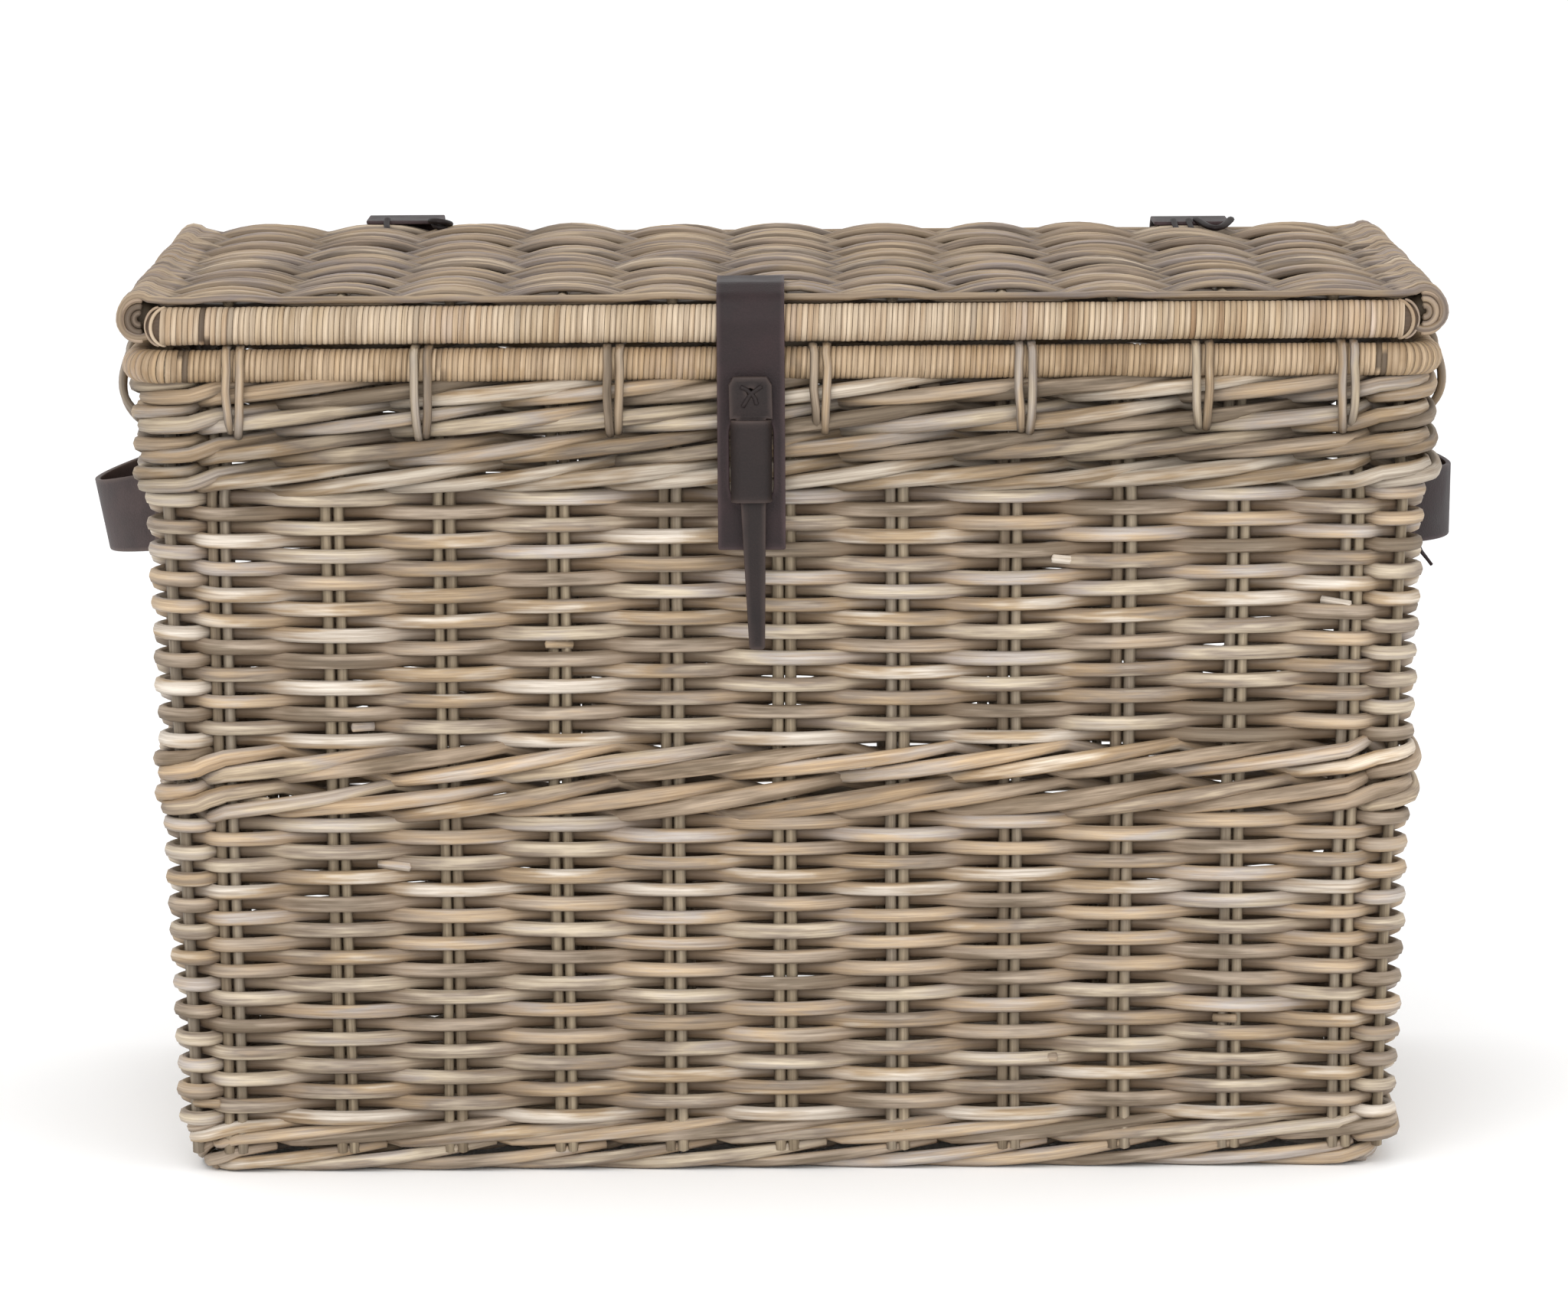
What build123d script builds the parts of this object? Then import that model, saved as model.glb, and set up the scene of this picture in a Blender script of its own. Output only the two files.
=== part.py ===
from build123d import *
import math
import os

# Wicker storage trunk: a woven basket with a hinged woven lid, two leather side handles,
# and a leather strap that is held shut by a peg through a keeper loop.
# X is the width, Y the depth with the clasp at -Y, Z is up. The origin is at the bottom centre.

# Basket body, in millimetres
WALL_HALF_WIDTH = 366.0  # middle of the side walls at floor level
WIDTH_OVER_DEPTH = 160.0  # half-width less half-depth, the same at every height
FLARE = 0.0215  # how far each wall leans out per millimetre of height
CORNER_RADIUS = 14.0  # of the middle of the wall
FOOT_TOP = 32.0
LOWER_WEAVE_TOP = 224.0
MIDDLE_WALE_TOP = 268.0
UPPER_WEAVE_TOP = 426.0
UPPER_WALE_TOP = 496.5

# Each band stands out from the middle of the wall by its first size, and in by its second
FOOT_BULGE = (3.0, 12.0)
FOOT_FILLET = 4.0
WEAVE_BULGE = (10.0, 10.0)
MIDDLE_WALE_BULGE = (14.0, 12.0)
UPPER_WALE_BULGE = (21.0, 12.0)

# Stakes: upright rods in pairs, hidden in the weave
STAKE_RADIUS = 3.5
STAKE_PAIR_HALF_GAP = 3.8
STAKE_PITCH = 68.0
STAKE_CLEARANCE = 0.4
STAKE_PAIRS = {"front": 11, "back": 11, "left": 6, "right": 6}

# Base mat and the sticks inside it
BASE_BOTTOM = 10.0
BASE_TOP = 22.0
STICK_RADIUS = 3.5
STICK_PITCH = 67.0
STICK_COUNT = 11

# Rim: wrapped poles on top of the wale
RIM_RADIUS = 10.0
RIM_Z = 507.0
RIM_OUT = 11.0  # pole centre beyond the middle of the wall
WRAP_THICKNESS = 1.6
LASH_RADIUS = 2.5
LASH_HALF_SPACING = 3.9  # between the two rods of a pair
LASH_BOTTOM = 462.0
LASH_TOP = 514.0
LASH_PLACES_FRONT = (-332.0, -218.0, -102.0, 23.0, 147.0, 254.0, 342.0)
LASH_PLACES_BACK = (-332.0, -180.0, -60.0, 60.0, 180.0, 342.0)
LASH_PLACES_SIDE = (-150.0, 0.0, 150.0)

# Lid: two wrapped bars, two rolled sides and a woven panel on ribs
LID_BAR_RADIUS = 12.0
LID_BAR_Z = 529.5
LID_BAR_Y = 228.5
LID_BAR_HALF_LENGTH = 385.0
LID_ROLL_RADIUS = 14.0
LID_ROLL_X = 392.0
LID_ROLL_Z = 532.5
LID_PANEL_BOTTOM = 534.0
LID_PANEL_TOP = 549.0
LID_PANEL_HALF_WIDTH = 377.5
LID_PANEL_HALF_DEPTH = 217.0
LID_PANEL_FILLET = 4.0
RIB_RADIUS = 3.5
RIB_PITCH = 67.0
RIB_COUNT = 11

# Leather
LEATHER = 3.5
FIT_GAP = 0.3

# Hinges: two leather straps laced over the back edge, each in a lid half and a basket half
HINGE_Y = 242.45
HINGE_Z = 517.5
HINGE_PLACES = {"left": -250.0, "right": 272.0}
HINGE_WIDTH = 50.0
HINGE_LEATHER = 2.5
HINGE_LID_START = 2.5  # above the hinge line
HINGE_BASKET_START = 2.2  # below it
HINGE_BASKET_END = 455.0
HINGE_TAIL_Y = 178.0  # where the lid half ends on top of the panel
KNOT_RADIUS = 5.0
KNOT_THICKNESS = 6.2
KNOT_FILLET = 2.0
KNOT_HEIGHTS = (470.0, 500.0)
# Its bend over the back bar, outward and up from the bar's middle: inner face, then outer face
HINGE_FLAT_ENDS = (-6.5, -5.7)
HINGE_SHOULDERS = ((7.5, 14.0), (9.0, 16.3))
HINGE_DROP_STARTS = (4.5, 6.0)

# Clasp
CLASP_X = -19.0
STRAP_WIDTH = 41.0
STRAP_BOTTOM = 392.0
STRAP_BACK_Y = -240.9  # inner face of the hanging strap
ANCHOR_TAIL_Y = -178.0  # where the strap starts on top of the panel
ANCHOR_FLAT_ENDS = (-219.0, -220.0)  # inner face, then outer face
ANCHOR_END = ((-228.6, 545.2), (-229.4, 548.9))  # (Y, Z) where the anchor meets the flap
FLAP_START = ((-229.6, 544.9), (-230.6, 548.6))
FLAP_SHOULDERS = ((-236.5, 541.9), (-239.2, 545.0))
FLAP_DROP_STARTS = (535.5, 537.0)
STRAP_SLOT_WIDTH = 31.0
STRAP_SLOT = (419.5, 474.5)  # lowest and highest edge of the slot
STRAP_SLOT_CORNER = 6.0
LOOP_Z = (422.0, 472.0)
LOOP_HALF_WIDTH = 12.5
LOOP_FRONT_Y = -257.8
LOOP_ROOT_Y = -238.2
LOOP_CORNER = 7.0  # outer radius of the loop's two bends
PEG_BACK_Y = -245.0
PEG_THICKNESS = 8.5
PEG_TOP = 498.0
PEG_SHOULDER = LOOP_Z[1] + FIT_GAP
PEG_BOTTOM = 332.0
PEG_HEAD_HALF_WIDTH = 13.0
PEG_HEAD_CHAMFER = (3.0, 4.0)  # across, then down
PEG_SHAFT_HALF_WIDTH = 7.5
PEG_TIP_HALF_WIDTH = 5.5
PEG_HOLE_Z = 490.0
PEG_HOLE_RADIUS = 2.2

# Side handles: leather bands bowed out from the weave
HANDLE_BOTTOM = 367.0
HANDLE_TOP = 417.0
HANDLE_HALF_SPAN = 75.5
HANDLE_ROOT_X = 385.7
HANDLE_CROWN_X = {"left": 433.5, "right": 424.5}  # the left one is pulled further out
TAB_LENGTH = 24.0
TAB_GAP = 0.6

SIDES = ("front", "back", "left", "right")


def half_width(z):
    return WALL_HALF_WIDTH + FLARE * z


def half_depth(z):
    return half_width(z) - WIDTH_OVER_DEPTH


def write(node, shape):
    export_step(shape, f"parts/{node}.step")


def cylinder_between(start, end, radius):
    start, end = Vector(*start), Vector(*end)
    along = end - start
    rod = Cylinder(radius, along.length, align=(Align.CENTER, Align.CENTER, Align.MIN))
    return Plane(origin=start, z_dir=along) * rod


def round_ended_bar(start, end, radius):
    """A pole between two points, with round ends that reach exactly those points."""
    start, end = Vector(*start), Vector(*end)
    inset = (end - start).normalized() * radius
    bar = cylinder_between(start + inset, end - inset, radius)
    return bar + Pos(start + inset) * Sphere(radius) + Pos(end - inset) * Sphere(radius)


def wall_prism(offset, bottom, top, flared=True):
    """The closed shape inside the wall's middle surface, grown by offset."""
    sections = []
    for z in (bottom, top):
        at = z if flared else 0.0
        outline = RectangleRounded(
            2 * (half_width(at) + offset), 2 * (half_depth(at) + offset), CORNER_RADIUS + offset
        )
        sections.append(Pos(0, 0, z) * outline)
    return loft(sections)


def side_sector(side):
    """The space in front of, behind or beside the basket, cut off at its mitred corners."""
    reach = 600.0
    ridge = WIDTH_OVER_DEPTH
    corners = {
        "front": [(-ridge, 0), (ridge, 0), (ridge + reach, -reach), (-ridge - reach, -reach)],
        "back": [(-ridge, 0), (-ridge - reach, reach), (ridge + reach, reach), (ridge, 0)],
        "left": [(-ridge, 0), (-ridge - reach, -reach), (-ridge - reach, reach)],
        "right": [(ridge, 0), (ridge + reach, reach), (ridge + reach, -reach)],
    }[side]
    return extrude(make_face(Polyline(*corners, close=True)), amount=reach)


def on_wall(side, along, z):
    """A point in the middle of a wall, at a place along it and a height."""
    return {
        "front": (along, -half_depth(z), z),
        "back": (along, half_depth(z), z),
        "left": (-half_width(z), along, z),
        "right": (half_width(z), along, z),
    }[side]


def stake_places(side):
    count = STAKE_PAIRS[side]
    for pair in range(count):
        middle = (pair - (count - 1) / 2) * STAKE_PITCH
        yield middle - STAKE_PAIR_HALF_GAP
        yield middle + STAKE_PAIR_HALF_GAP


def stakes(side, bottom, top, radius):
    return [
        cylinder_between(on_wall(side, place, bottom), on_wall(side, place, top), radius)
        for place in stake_places(side)
    ]


def corner_stakes(bottom, top, radius):
    inset = CORNER_RADIUS * (1 - math.sqrt(0.5))
    rods = []
    for x_sign in (-1, 1):
        for y_sign in (-1, 1):
            ends = [
                (x_sign * (half_width(z) - inset), y_sign * (half_depth(z) - inset), z)
                for z in (bottom, top)
            ]
            rods.append(cylinder_between(*ends, radius))
    return rods


def make_walls():
    bands = {
        "lower_weave": (FOOT_TOP, LOWER_WEAVE_TOP, WEAVE_BULGE),
        "middle_wale": (LOWER_WEAVE_TOP, MIDDLE_WALE_TOP, MIDDLE_WALE_BULGE),
        "upper_weave": (MIDDLE_WALE_TOP, UPPER_WEAVE_TOP, WEAVE_BULGE),
        "upper_wale": (UPPER_WEAVE_TOP, UPPER_WALE_TOP, UPPER_WALE_BULGE),
    }
    channel_radius = STAKE_RADIUS + STAKE_CLEARANCE
    corner_channels = corner_stakes(FOOT_TOP - 1, UPPER_WALE_TOP + 1, channel_radius)
    for side in SIDES:
        channels = stakes(side, FOOT_TOP - 1, UPPER_WALE_TOP + 1, channel_radius)
        for name, (bottom, top, (outward, inward)) in bands.items():
            outside = wall_prism(outward, bottom, top)
            inside = wall_prism(-inward, bottom - 1, top + 1)
            panel = (outside - inside) & side_sector(side)
            write(f"{name}_{side}", panel - channels - corner_channels)


def make_stakes():
    bottom, top = FOOT_TOP + 1, UPPER_WALE_TOP - 1
    for side in SIDES:
        write(f"stakes_{side}", Compound(stakes(side, bottom, top, STAKE_RADIUS)))
    write("stakes_corner", Compound(corner_stakes(bottom, top, STAKE_RADIUS)))


def make_foot():
    outward, inward = FOOT_BULGE
    outside = wall_prism(outward, 0, FOOT_TOP, flared=False)
    outside = fillet(outside.faces().sort_by(Axis.Z)[0].edges(), FOOT_FILLET)
    inside = wall_prism(-inward, -1, FOOT_TOP + 1, flared=False)
    ring = outside - inside
    for side in SIDES:
        write(f"foot_border_{side}", ring & side_sector_from_floor(side))


def side_sector_from_floor(side):
    return Pos(0, 0, -1) * side_sector(side)


def rods_across(count, pitch, half_length, z, radius):
    """Parallel rods running from front to back."""
    rods = []
    for index in range(count):
        x = (index - (count - 1) / 2) * pitch
        rods.append(cylinder_between((x, -half_length, z), (x, half_length, z), radius))
    return rods


def make_base():
    inward = FOOT_BULGE[1]
    half_x = half_width(0) - inward
    half_y = half_depth(0) - inward
    mat = RectangleRounded(2 * half_x, 2 * half_y, CORNER_RADIUS - inward)
    mat = extrude(Pos(0, 0, BASE_BOTTOM) * mat, amount=BASE_TOP - BASE_BOTTOM)
    middle = (BASE_BOTTOM + BASE_TOP) / 2
    channels = rods_across(STICK_COUNT, STICK_PITCH, half_y + 1, middle, STICK_RADIUS + STAKE_CLEARANCE)
    write("base_mat", mat - channels)
    sticks = rods_across(STICK_COUNT, STICK_PITCH, half_y - 1, middle, STICK_RADIUS)
    write("base_sticks", Compound(sticks))


def pole_with_wrap(start, end, radius):
    """A round-ended pole and the thin wrapping round its straight length."""
    start, end = Vector(*start), Vector(*end)
    inset = (end - start).normalized() * (radius + 2)
    sleeve = cylinder_between(start + inset, end - inset, radius)
    core_radius = radius - WRAP_THICKNESS
    wrap = sleeve - cylinder_between(start, end, core_radius)
    return round_ended_bar(start, end, radius) - wrap, wrap


def make_rim():
    x = half_width(RIM_Z) + RIM_OUT
    y = half_depth(RIM_Z) + RIM_OUT
    long_end = x + RIM_RADIUS
    short_end = y - RIM_RADIUS - FIT_GAP
    ends = {
        "front": ((-long_end, -y, RIM_Z), (long_end, -y, RIM_Z)),
        "back": ((-long_end, y, RIM_Z), (long_end, y, RIM_Z)),
        "left": ((-x, -short_end, RIM_Z), (-x, short_end, RIM_Z)),
        "right": ((x, -short_end, RIM_Z), (x, short_end, RIM_Z)),
    }
    wraps = []
    for side, (start, end) in ends.items():
        pole, wrap = pole_with_wrap(start, end, RIM_RADIUS)
        write(f"rim_pole_{side}", pole)
        wraps.append(wrap)
    write("rim_wraps", Compound(wraps))
    make_lashings(x + RIM_RADIUS + LASH_RADIUS, y + RIM_RADIUS + LASH_RADIUS)


def make_lashings(out_x, out_y):
    """Pairs of thin rods that tie the rim poles down to the wale."""
    places = {
        "front": (LASH_PLACES_FRONT, lambda along, z: (along, -out_y, z)),
        "back": (LASH_PLACES_BACK, lambda along, z: (along, out_y, z)),
        "left": (LASH_PLACES_SIDE, lambda along, z: (-out_x, along, z)),
        "right": (LASH_PLACES_SIDE, lambda along, z: (out_x, along, z)),
    }
    for side, (middles, point) in places.items():
        rods = []
        for middle in middles:
            for shift in (-LASH_HALF_SPACING, LASH_HALF_SPACING):
                low = point(middle + shift, LASH_BOTTOM)
                high = point(middle + shift, LASH_TOP)
                rods.append(cylinder_between(low, high, LASH_RADIUS))
        write(f"rim_lashings_{side}", Compound(rods))


def make_lid():
    wraps = []
    for side, y in (("front", -LID_BAR_Y), ("back", LID_BAR_Y)):
        start = (-LID_BAR_HALF_LENGTH, y, LID_BAR_Z)
        end = (LID_BAR_HALF_LENGTH, y, LID_BAR_Z)
        bar, wrap = pole_with_wrap(start, end, LID_BAR_RADIUS)
        write(f"lid_bar_{side}", bar)
        wraps.append(wrap)
    write("lid_wraps", Compound(wraps))
    roll_end = LID_BAR_Y - LID_BAR_RADIUS - FIT_GAP
    for side, x in (("left", -LID_ROLL_X), ("right", LID_ROLL_X)):
        roll = round_ended_bar((x, -roll_end, LID_ROLL_Z), (x, roll_end, LID_ROLL_Z), LID_ROLL_RADIUS)
        write(f"lid_roll_{side}", roll)
    make_lid_panel()


def make_lid_panel():
    thickness = LID_PANEL_TOP - LID_PANEL_BOTTOM
    middle = (LID_PANEL_TOP + LID_PANEL_BOTTOM) / 2
    panel = Box(2 * LID_PANEL_HALF_WIDTH, 2 * LID_PANEL_HALF_DEPTH, thickness)
    panel = Pos(0, 0, middle) * panel
    panel = fillet(panel.faces().sort_by(Axis.Z)[-1].edges(), LID_PANEL_FILLET)
    reach = LID_PANEL_HALF_DEPTH + 1
    channels = rods_across(RIB_COUNT, RIB_PITCH, reach, middle, RIB_RADIUS + STAKE_CLEARANCE)
    write("lid_weave", panel - channels)
    ribs = rods_across(RIB_COUNT, RIB_PITCH, LID_PANEL_HALF_DEPTH - 1, middle, RIB_RADIUS)
    write("lid_ribs", Compound(ribs))


def leather_profile(points, middle_x, width):
    """A leather piece from its outline in the YZ plane, centred across its width."""
    face = make_face(Polyline(*points, close=True))
    left = middle_x - width / 2
    return extrude(Plane(origin=(left, 0, 0), x_dir=(0, 1, 0), z_dir=(1, 0, 0)) * face, amount=width)


def make_hinges():
    inner = HINGE_Y - HINGE_LEATHER / 2
    outer = HINGE_Y + HINGE_LEATHER / 2
    lid_start = HINGE_Z + HINGE_LID_START
    basket_start = HINGE_Z - HINGE_BASKET_START
    on_panel = LID_PANEL_TOP + FIT_GAP
    shoulders = [(LID_BAR_Y + outward, LID_BAR_Z + up) for outward, up in HINGE_SHOULDERS]
    lid_half = [
        (HINGE_TAIL_Y, on_panel),
        (LID_BAR_Y + HINGE_FLAT_ENDS[0], on_panel),
        shoulders[0],
        (inner, LID_BAR_Z + HINGE_DROP_STARTS[0]),
        (inner, lid_start),
        (outer, lid_start),
        (outer, LID_BAR_Z + HINGE_DROP_STARTS[1]),
        shoulders[1],
        (LID_BAR_Y + HINGE_FLAT_ENDS[1], on_panel + HINGE_LEATHER),
        (HINGE_TAIL_Y, on_panel + HINGE_LEATHER),
    ]
    basket_half = [
        (inner, basket_start),
        (inner, HINGE_BASKET_END),
        (outer, HINGE_BASKET_END),
        (outer, basket_start),
    ]
    for side, x in HINGE_PLACES.items():
        write(f"hinge_lid_half_{side}", leather_profile(lid_half, x, HINGE_WIDTH))
        write(f"hinge_basket_half_{side}", leather_profile(basket_half, x, HINGE_WIDTH))
        write(f"hinge_knots_{side}", Compound(hinge_knots(x, outer)))


def hinge_knots(x, back_face):
    """The lace knots on the back of a hinge's basket half."""
    knots = []
    for shift in (-HINGE_WIDTH / 4, HINGE_WIDTH / 4):
        for z in KNOT_HEIGHTS:
            knot = Cylinder(KNOT_RADIUS, KNOT_THICKNESS)
            knot = fillet(knot.edges(), KNOT_FILLET)
            place = Pos(x + shift, back_face + KNOT_THICKNESS / 2, z)
            knots.append(place * Rot(90, 0, 0) * knot)
    return knots


def make_strap():
    face_y = STRAP_BACK_Y
    front_y = face_y - LEATHER
    on_panel = LID_PANEL_TOP + FIT_GAP
    anchor = [
        (ANCHOR_TAIL_Y, on_panel),
        (ANCHOR_FLAT_ENDS[0], on_panel),
        ANCHOR_END[0],
        ANCHOR_END[1],
        (ANCHOR_FLAT_ENDS[1], on_panel + LEATHER),
        (ANCHOR_TAIL_Y, on_panel + LEATHER),
    ]
    flap = [
        FLAP_START[0],
        FLAP_SHOULDERS[0],
        (face_y, FLAP_DROP_STARTS[0]),
        (face_y, STRAP_BOTTOM),
        (front_y, STRAP_BOTTOM),
        (front_y, FLAP_DROP_STARTS[1]),
        FLAP_SHOULDERS[1],
        FLAP_START[1],
    ]
    write("strap_anchor", leather_profile(anchor, CLASP_X, STRAP_WIDTH))
    low, high = STRAP_SLOT
    slot = Box(STRAP_SLOT_WIDTH, 3 * LEATHER, high - low)
    slot = fillet(slot.edges().filter_by(Axis.Y), STRAP_SLOT_CORNER)
    slot = Pos(CLASP_X, (face_y + front_y) / 2, (low + high) / 2) * slot
    write("strap_flap", leather_profile(flap, CLASP_X, STRAP_WIDTH) - slot)


def make_keeper_loop():
    """A band that stands out through the strap's slot and holds the peg."""
    low, high = LOOP_Z
    depth = LOOP_ROOT_Y - LOOP_FRONT_Y
    middle_y = (LOOP_ROOT_Y + LOOP_FRONT_Y) / 2
    outside = Pos(CLASP_X, middle_y) * Rectangle(2 * LOOP_HALF_WIDTH, depth)
    outside = fillet(outside.vertices().group_by(Axis.Y)[0], LOOP_CORNER)
    inside = Pos(CLASP_X, middle_y + LEATHER) * Rectangle(2 * (LOOP_HALF_WIDTH - LEATHER), depth)
    inside = fillet(inside.vertices().group_by(Axis.Y)[0], LOOP_CORNER - LEATHER)
    write("keeper_loop", extrude(Pos(0, 0, low) * (outside - inside), amount=high - low))


def make_peg():
    half_way = [
        (PEG_HEAD_HALF_WIDTH - PEG_HEAD_CHAMFER[0], PEG_TOP),
        (PEG_HEAD_HALF_WIDTH, PEG_TOP - PEG_HEAD_CHAMFER[1]),
        (PEG_HEAD_HALF_WIDTH, PEG_SHOULDER),
        (PEG_SHAFT_HALF_WIDTH, PEG_SHOULDER),
        (PEG_TIP_HALF_WIDTH, PEG_BOTTOM),
    ]
    outline = half_way + [(-x, z) for x, z in reversed(half_way)]
    face = make_face(Polyline(*outline, close=True))
    plane = Plane(origin=(CLASP_X, PEG_BACK_Y, 0), x_dir=(1, 0, 0), z_dir=(0, -1, 0))
    peg = extrude(plane * face, amount=PEG_THICKNESS)
    middle_y = PEG_BACK_Y - PEG_THICKNESS / 2
    hole = Pos(CLASP_X, middle_y, PEG_HOLE_Z) * Rot(90, 0, 0) * Cylinder(PEG_HOLE_RADIUS, 2 * PEG_THICKNESS)
    write("peg", peg - hole)
    write("peg_tie", peg_tie(middle_y))


def peg_tie(middle_y):
    """The short lace that fills the hole in the peg's head."""
    lace = Cylinder(PEG_HOLE_RADIUS - FIT_GAP, PEG_THICKNESS)
    return Pos(CLASP_X, middle_y, PEG_HOLE_Z) * Rot(90, 0, 0) * lace


def make_handles():
    root, span = HANDLE_ROOT_X, HANDLE_HALF_SPAN
    height = HANDLE_TOP - HANDLE_BOTTOM
    for side, sign in (("left", -1), ("right", 1)):
        crown = HANDLE_CROWN_X[side]
        inner = ThreePointArc((sign * root, -span), (sign * crown, 0), (sign * root, span))
        outer = ThreePointArc(
            (sign * (root + LEATHER), span), (sign * (crown + LEATHER), 0), (sign * (root + LEATHER), -span)
        )
        ends = [Line(inner @ 1, outer @ 0), Line(outer @ 1, inner @ 0)]
        band = make_face([inner, ends[0], outer, ends[1]])
        write(f"handle_{side}", extrude(Pos(0, 0, HANDLE_BOTTOM) * band, amount=height))
        tabs = []
        for y_sign in (-1, 1):
            tab = Box(LEATHER, TAB_LENGTH, height)
            y = y_sign * (span + TAB_GAP + TAB_LENGTH / 2)
            tabs.append(Pos(sign * (root + LEATHER / 2), y, HANDLE_BOTTOM + height / 2) * tab)
        write(f"handle_tabs_{side}", Compound(tabs))


def main():
    os.makedirs("parts", exist_ok=True)
    make_walls()
    make_stakes()
    make_foot()
    make_base()
    make_rim()
    make_lid()
    make_hinges()
    make_strap()
    make_keeper_loop()
    make_peg()
    make_handles()


main()
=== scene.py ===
import math

import bmesh
import bpy
import numpy as np
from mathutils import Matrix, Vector


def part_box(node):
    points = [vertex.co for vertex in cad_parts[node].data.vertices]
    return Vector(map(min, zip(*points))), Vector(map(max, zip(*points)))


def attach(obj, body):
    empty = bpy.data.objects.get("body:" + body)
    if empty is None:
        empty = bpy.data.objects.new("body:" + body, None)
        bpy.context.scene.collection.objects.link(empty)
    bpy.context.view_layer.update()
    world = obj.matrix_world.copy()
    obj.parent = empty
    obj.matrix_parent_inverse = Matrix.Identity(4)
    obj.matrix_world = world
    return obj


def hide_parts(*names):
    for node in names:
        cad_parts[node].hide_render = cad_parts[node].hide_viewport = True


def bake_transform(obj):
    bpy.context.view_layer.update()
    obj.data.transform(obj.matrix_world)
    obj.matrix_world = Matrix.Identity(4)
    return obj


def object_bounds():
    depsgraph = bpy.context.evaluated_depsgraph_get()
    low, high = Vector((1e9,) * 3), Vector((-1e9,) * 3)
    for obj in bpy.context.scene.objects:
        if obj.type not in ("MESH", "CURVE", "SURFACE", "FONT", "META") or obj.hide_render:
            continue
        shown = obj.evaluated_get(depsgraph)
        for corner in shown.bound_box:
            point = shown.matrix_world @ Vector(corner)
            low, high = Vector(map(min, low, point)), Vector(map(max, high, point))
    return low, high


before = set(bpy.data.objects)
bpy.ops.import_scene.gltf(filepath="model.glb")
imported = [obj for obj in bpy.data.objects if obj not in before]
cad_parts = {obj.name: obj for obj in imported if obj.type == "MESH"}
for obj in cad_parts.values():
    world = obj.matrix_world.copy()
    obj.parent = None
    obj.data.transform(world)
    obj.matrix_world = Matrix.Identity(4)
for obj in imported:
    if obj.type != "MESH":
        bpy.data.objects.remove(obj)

# Wicker storage trunk. Every rod, cane and strap is a mesh of its own course through the weave.
# Lengths are in metres, and places come from the CAD nodes' boxes.

CAD_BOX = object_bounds()
MM = 0.001
UP = np.array([0, 0, 1.0])
SIDES = ("front", "back", "left", "right")
SEEDS = {"basket": 11, "rim": 12, "lid": 13}

# Rods of the basket
STAKE_PAIRS = {"left": 6, "front": 11, "right": 6, "back": 11}  # in order round the wall
STAKE_RADIUS = 3.5 * MM
STAKE_PAIR_HALF_GAP = 3.8 * MM
SAMPLES_PER_STAKE = 10
WEAVER_PITCH = 8.3 * MM
WEAVER_HALF_HEIGHT = 4.65 * MM
WEAVER_HALF_DEPTH = 3.6 * MM
WEAVE_STANDS_OUT = 10.0 * MM  # of the middle of the wall, as in the CAD bands
CORNER_RADIUS = 8.0 * MM
ROD_PERIODS = {2: (3, 7), 3: (2, 5)}  # how many periods of the weave a rod lasts
ROD_SIZES = (1.03, 1.13)  # of the butt end, to the usual size
ROD_TAPER = 0.11
ROW_SWAY = 1.8 * MM
WALES = {
    "middle_wale": {"rows": 2, "stands_out": 10.5 * MM, "half_height": 5.1 * MM, "rise": 19 * MM},
    "upper_wale": {"rows": 4, "stands_out": 16.5 * MM, "half_height": 4.7 * MM, "rise": 15 * MM},
}
WALE_GOES_IN = 8 * MM
WALE_FLATNESS = 0.82  # depth of a strand to its height
CUT_END_LENGTHS = (12, 20)  # in millimetres
CUT_END_CLIMB = 3.5
ROWS_PER_CUT_ENDS = 3

# The foot: one waled row, and below it the stakes' ends
FOOT_GOES_IN = 9 * MM
FOOT_STANDS_OUT = 3.5 * MM
FOOT_INSET = 1.5 * MM
FOOT_FLATNESS = 0.85
FOOT_HALF_HEIGHT = 4.2 * MM
FOOT_ROW_BELOW_TOP = 6.5 * MM
FOOT_ROW_RISE = 13 * MM
FOOT_BULGE = 7 * MM  # of the row at the right side
FOOT_BULGE_FROM_EDGE = 12 * MM
TURN_STARTS = 0.95  # in stakes, before the stake's own place
TURN_REACH = 2.3
TURN_FLOOR = 4.3 * MM  # height of a rod's middle where it lies on the floor
TURN_CLIMB = 14.0  # in millimetres, give or take TURN_CLIMB_SPREAD
TURN_CLIMB_SPREAD = 2
TURN_DRAWN_IN = 8 * MM
TURN_LESS_AT_TOP = 6 * MM
TURN_MORE_AT_CORNER = 14 * MM
TURN_ARCH = 6.5 * MM

# How much further out than the CAD walls the woven left and right sides are, at heights
LEAN_HEIGHTS = [h * MM for h in (80, 420, 450)]
LEFT_LEAN = [w * MM for w in (0, 5, 2)]
RIGHT_LEAN = [w * MM for w in (1, 8, 4)]

# Rim and lid bars, wound with cane
WRAP_PITCH = 3.4 * MM
WRAP_HALF_THICKNESS = 0.55 * MM
WRAP_HALF_WIDTH = 0.53  # of the pitch, so that turns touch
WRAP_SAMPLES = 16
# painted shade on the sides of each turn of the wound strip
WRAP_GROOVE_SHADE = 0.1
DARK_TURNS = 0.025  # share of the turns
DARK_TURN_SHADE = 0.6
POLE_UNDER_WRAP = 1.6 * WRAP_HALF_THICKNESS
POLE_END_INSET = 0.72  # of the radius, before the first turn
POLE_END_ROUNDING = 0.8
LOOPS = ((0.80, 0.9), (1.12, 0.6))  # how far in from the tip, in radii, and their tint
RIM_DROP = 3 * MM  # below the CAD rim, and how much further out at the sides
RIM_WIDER = 3 * MM
RIM_BEND = 19 * MM
RIM_FULLER = 1.03
RIM_SEAM_FROM_END = 29 * MM
BAR_SLIMMER = 0.97
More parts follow.
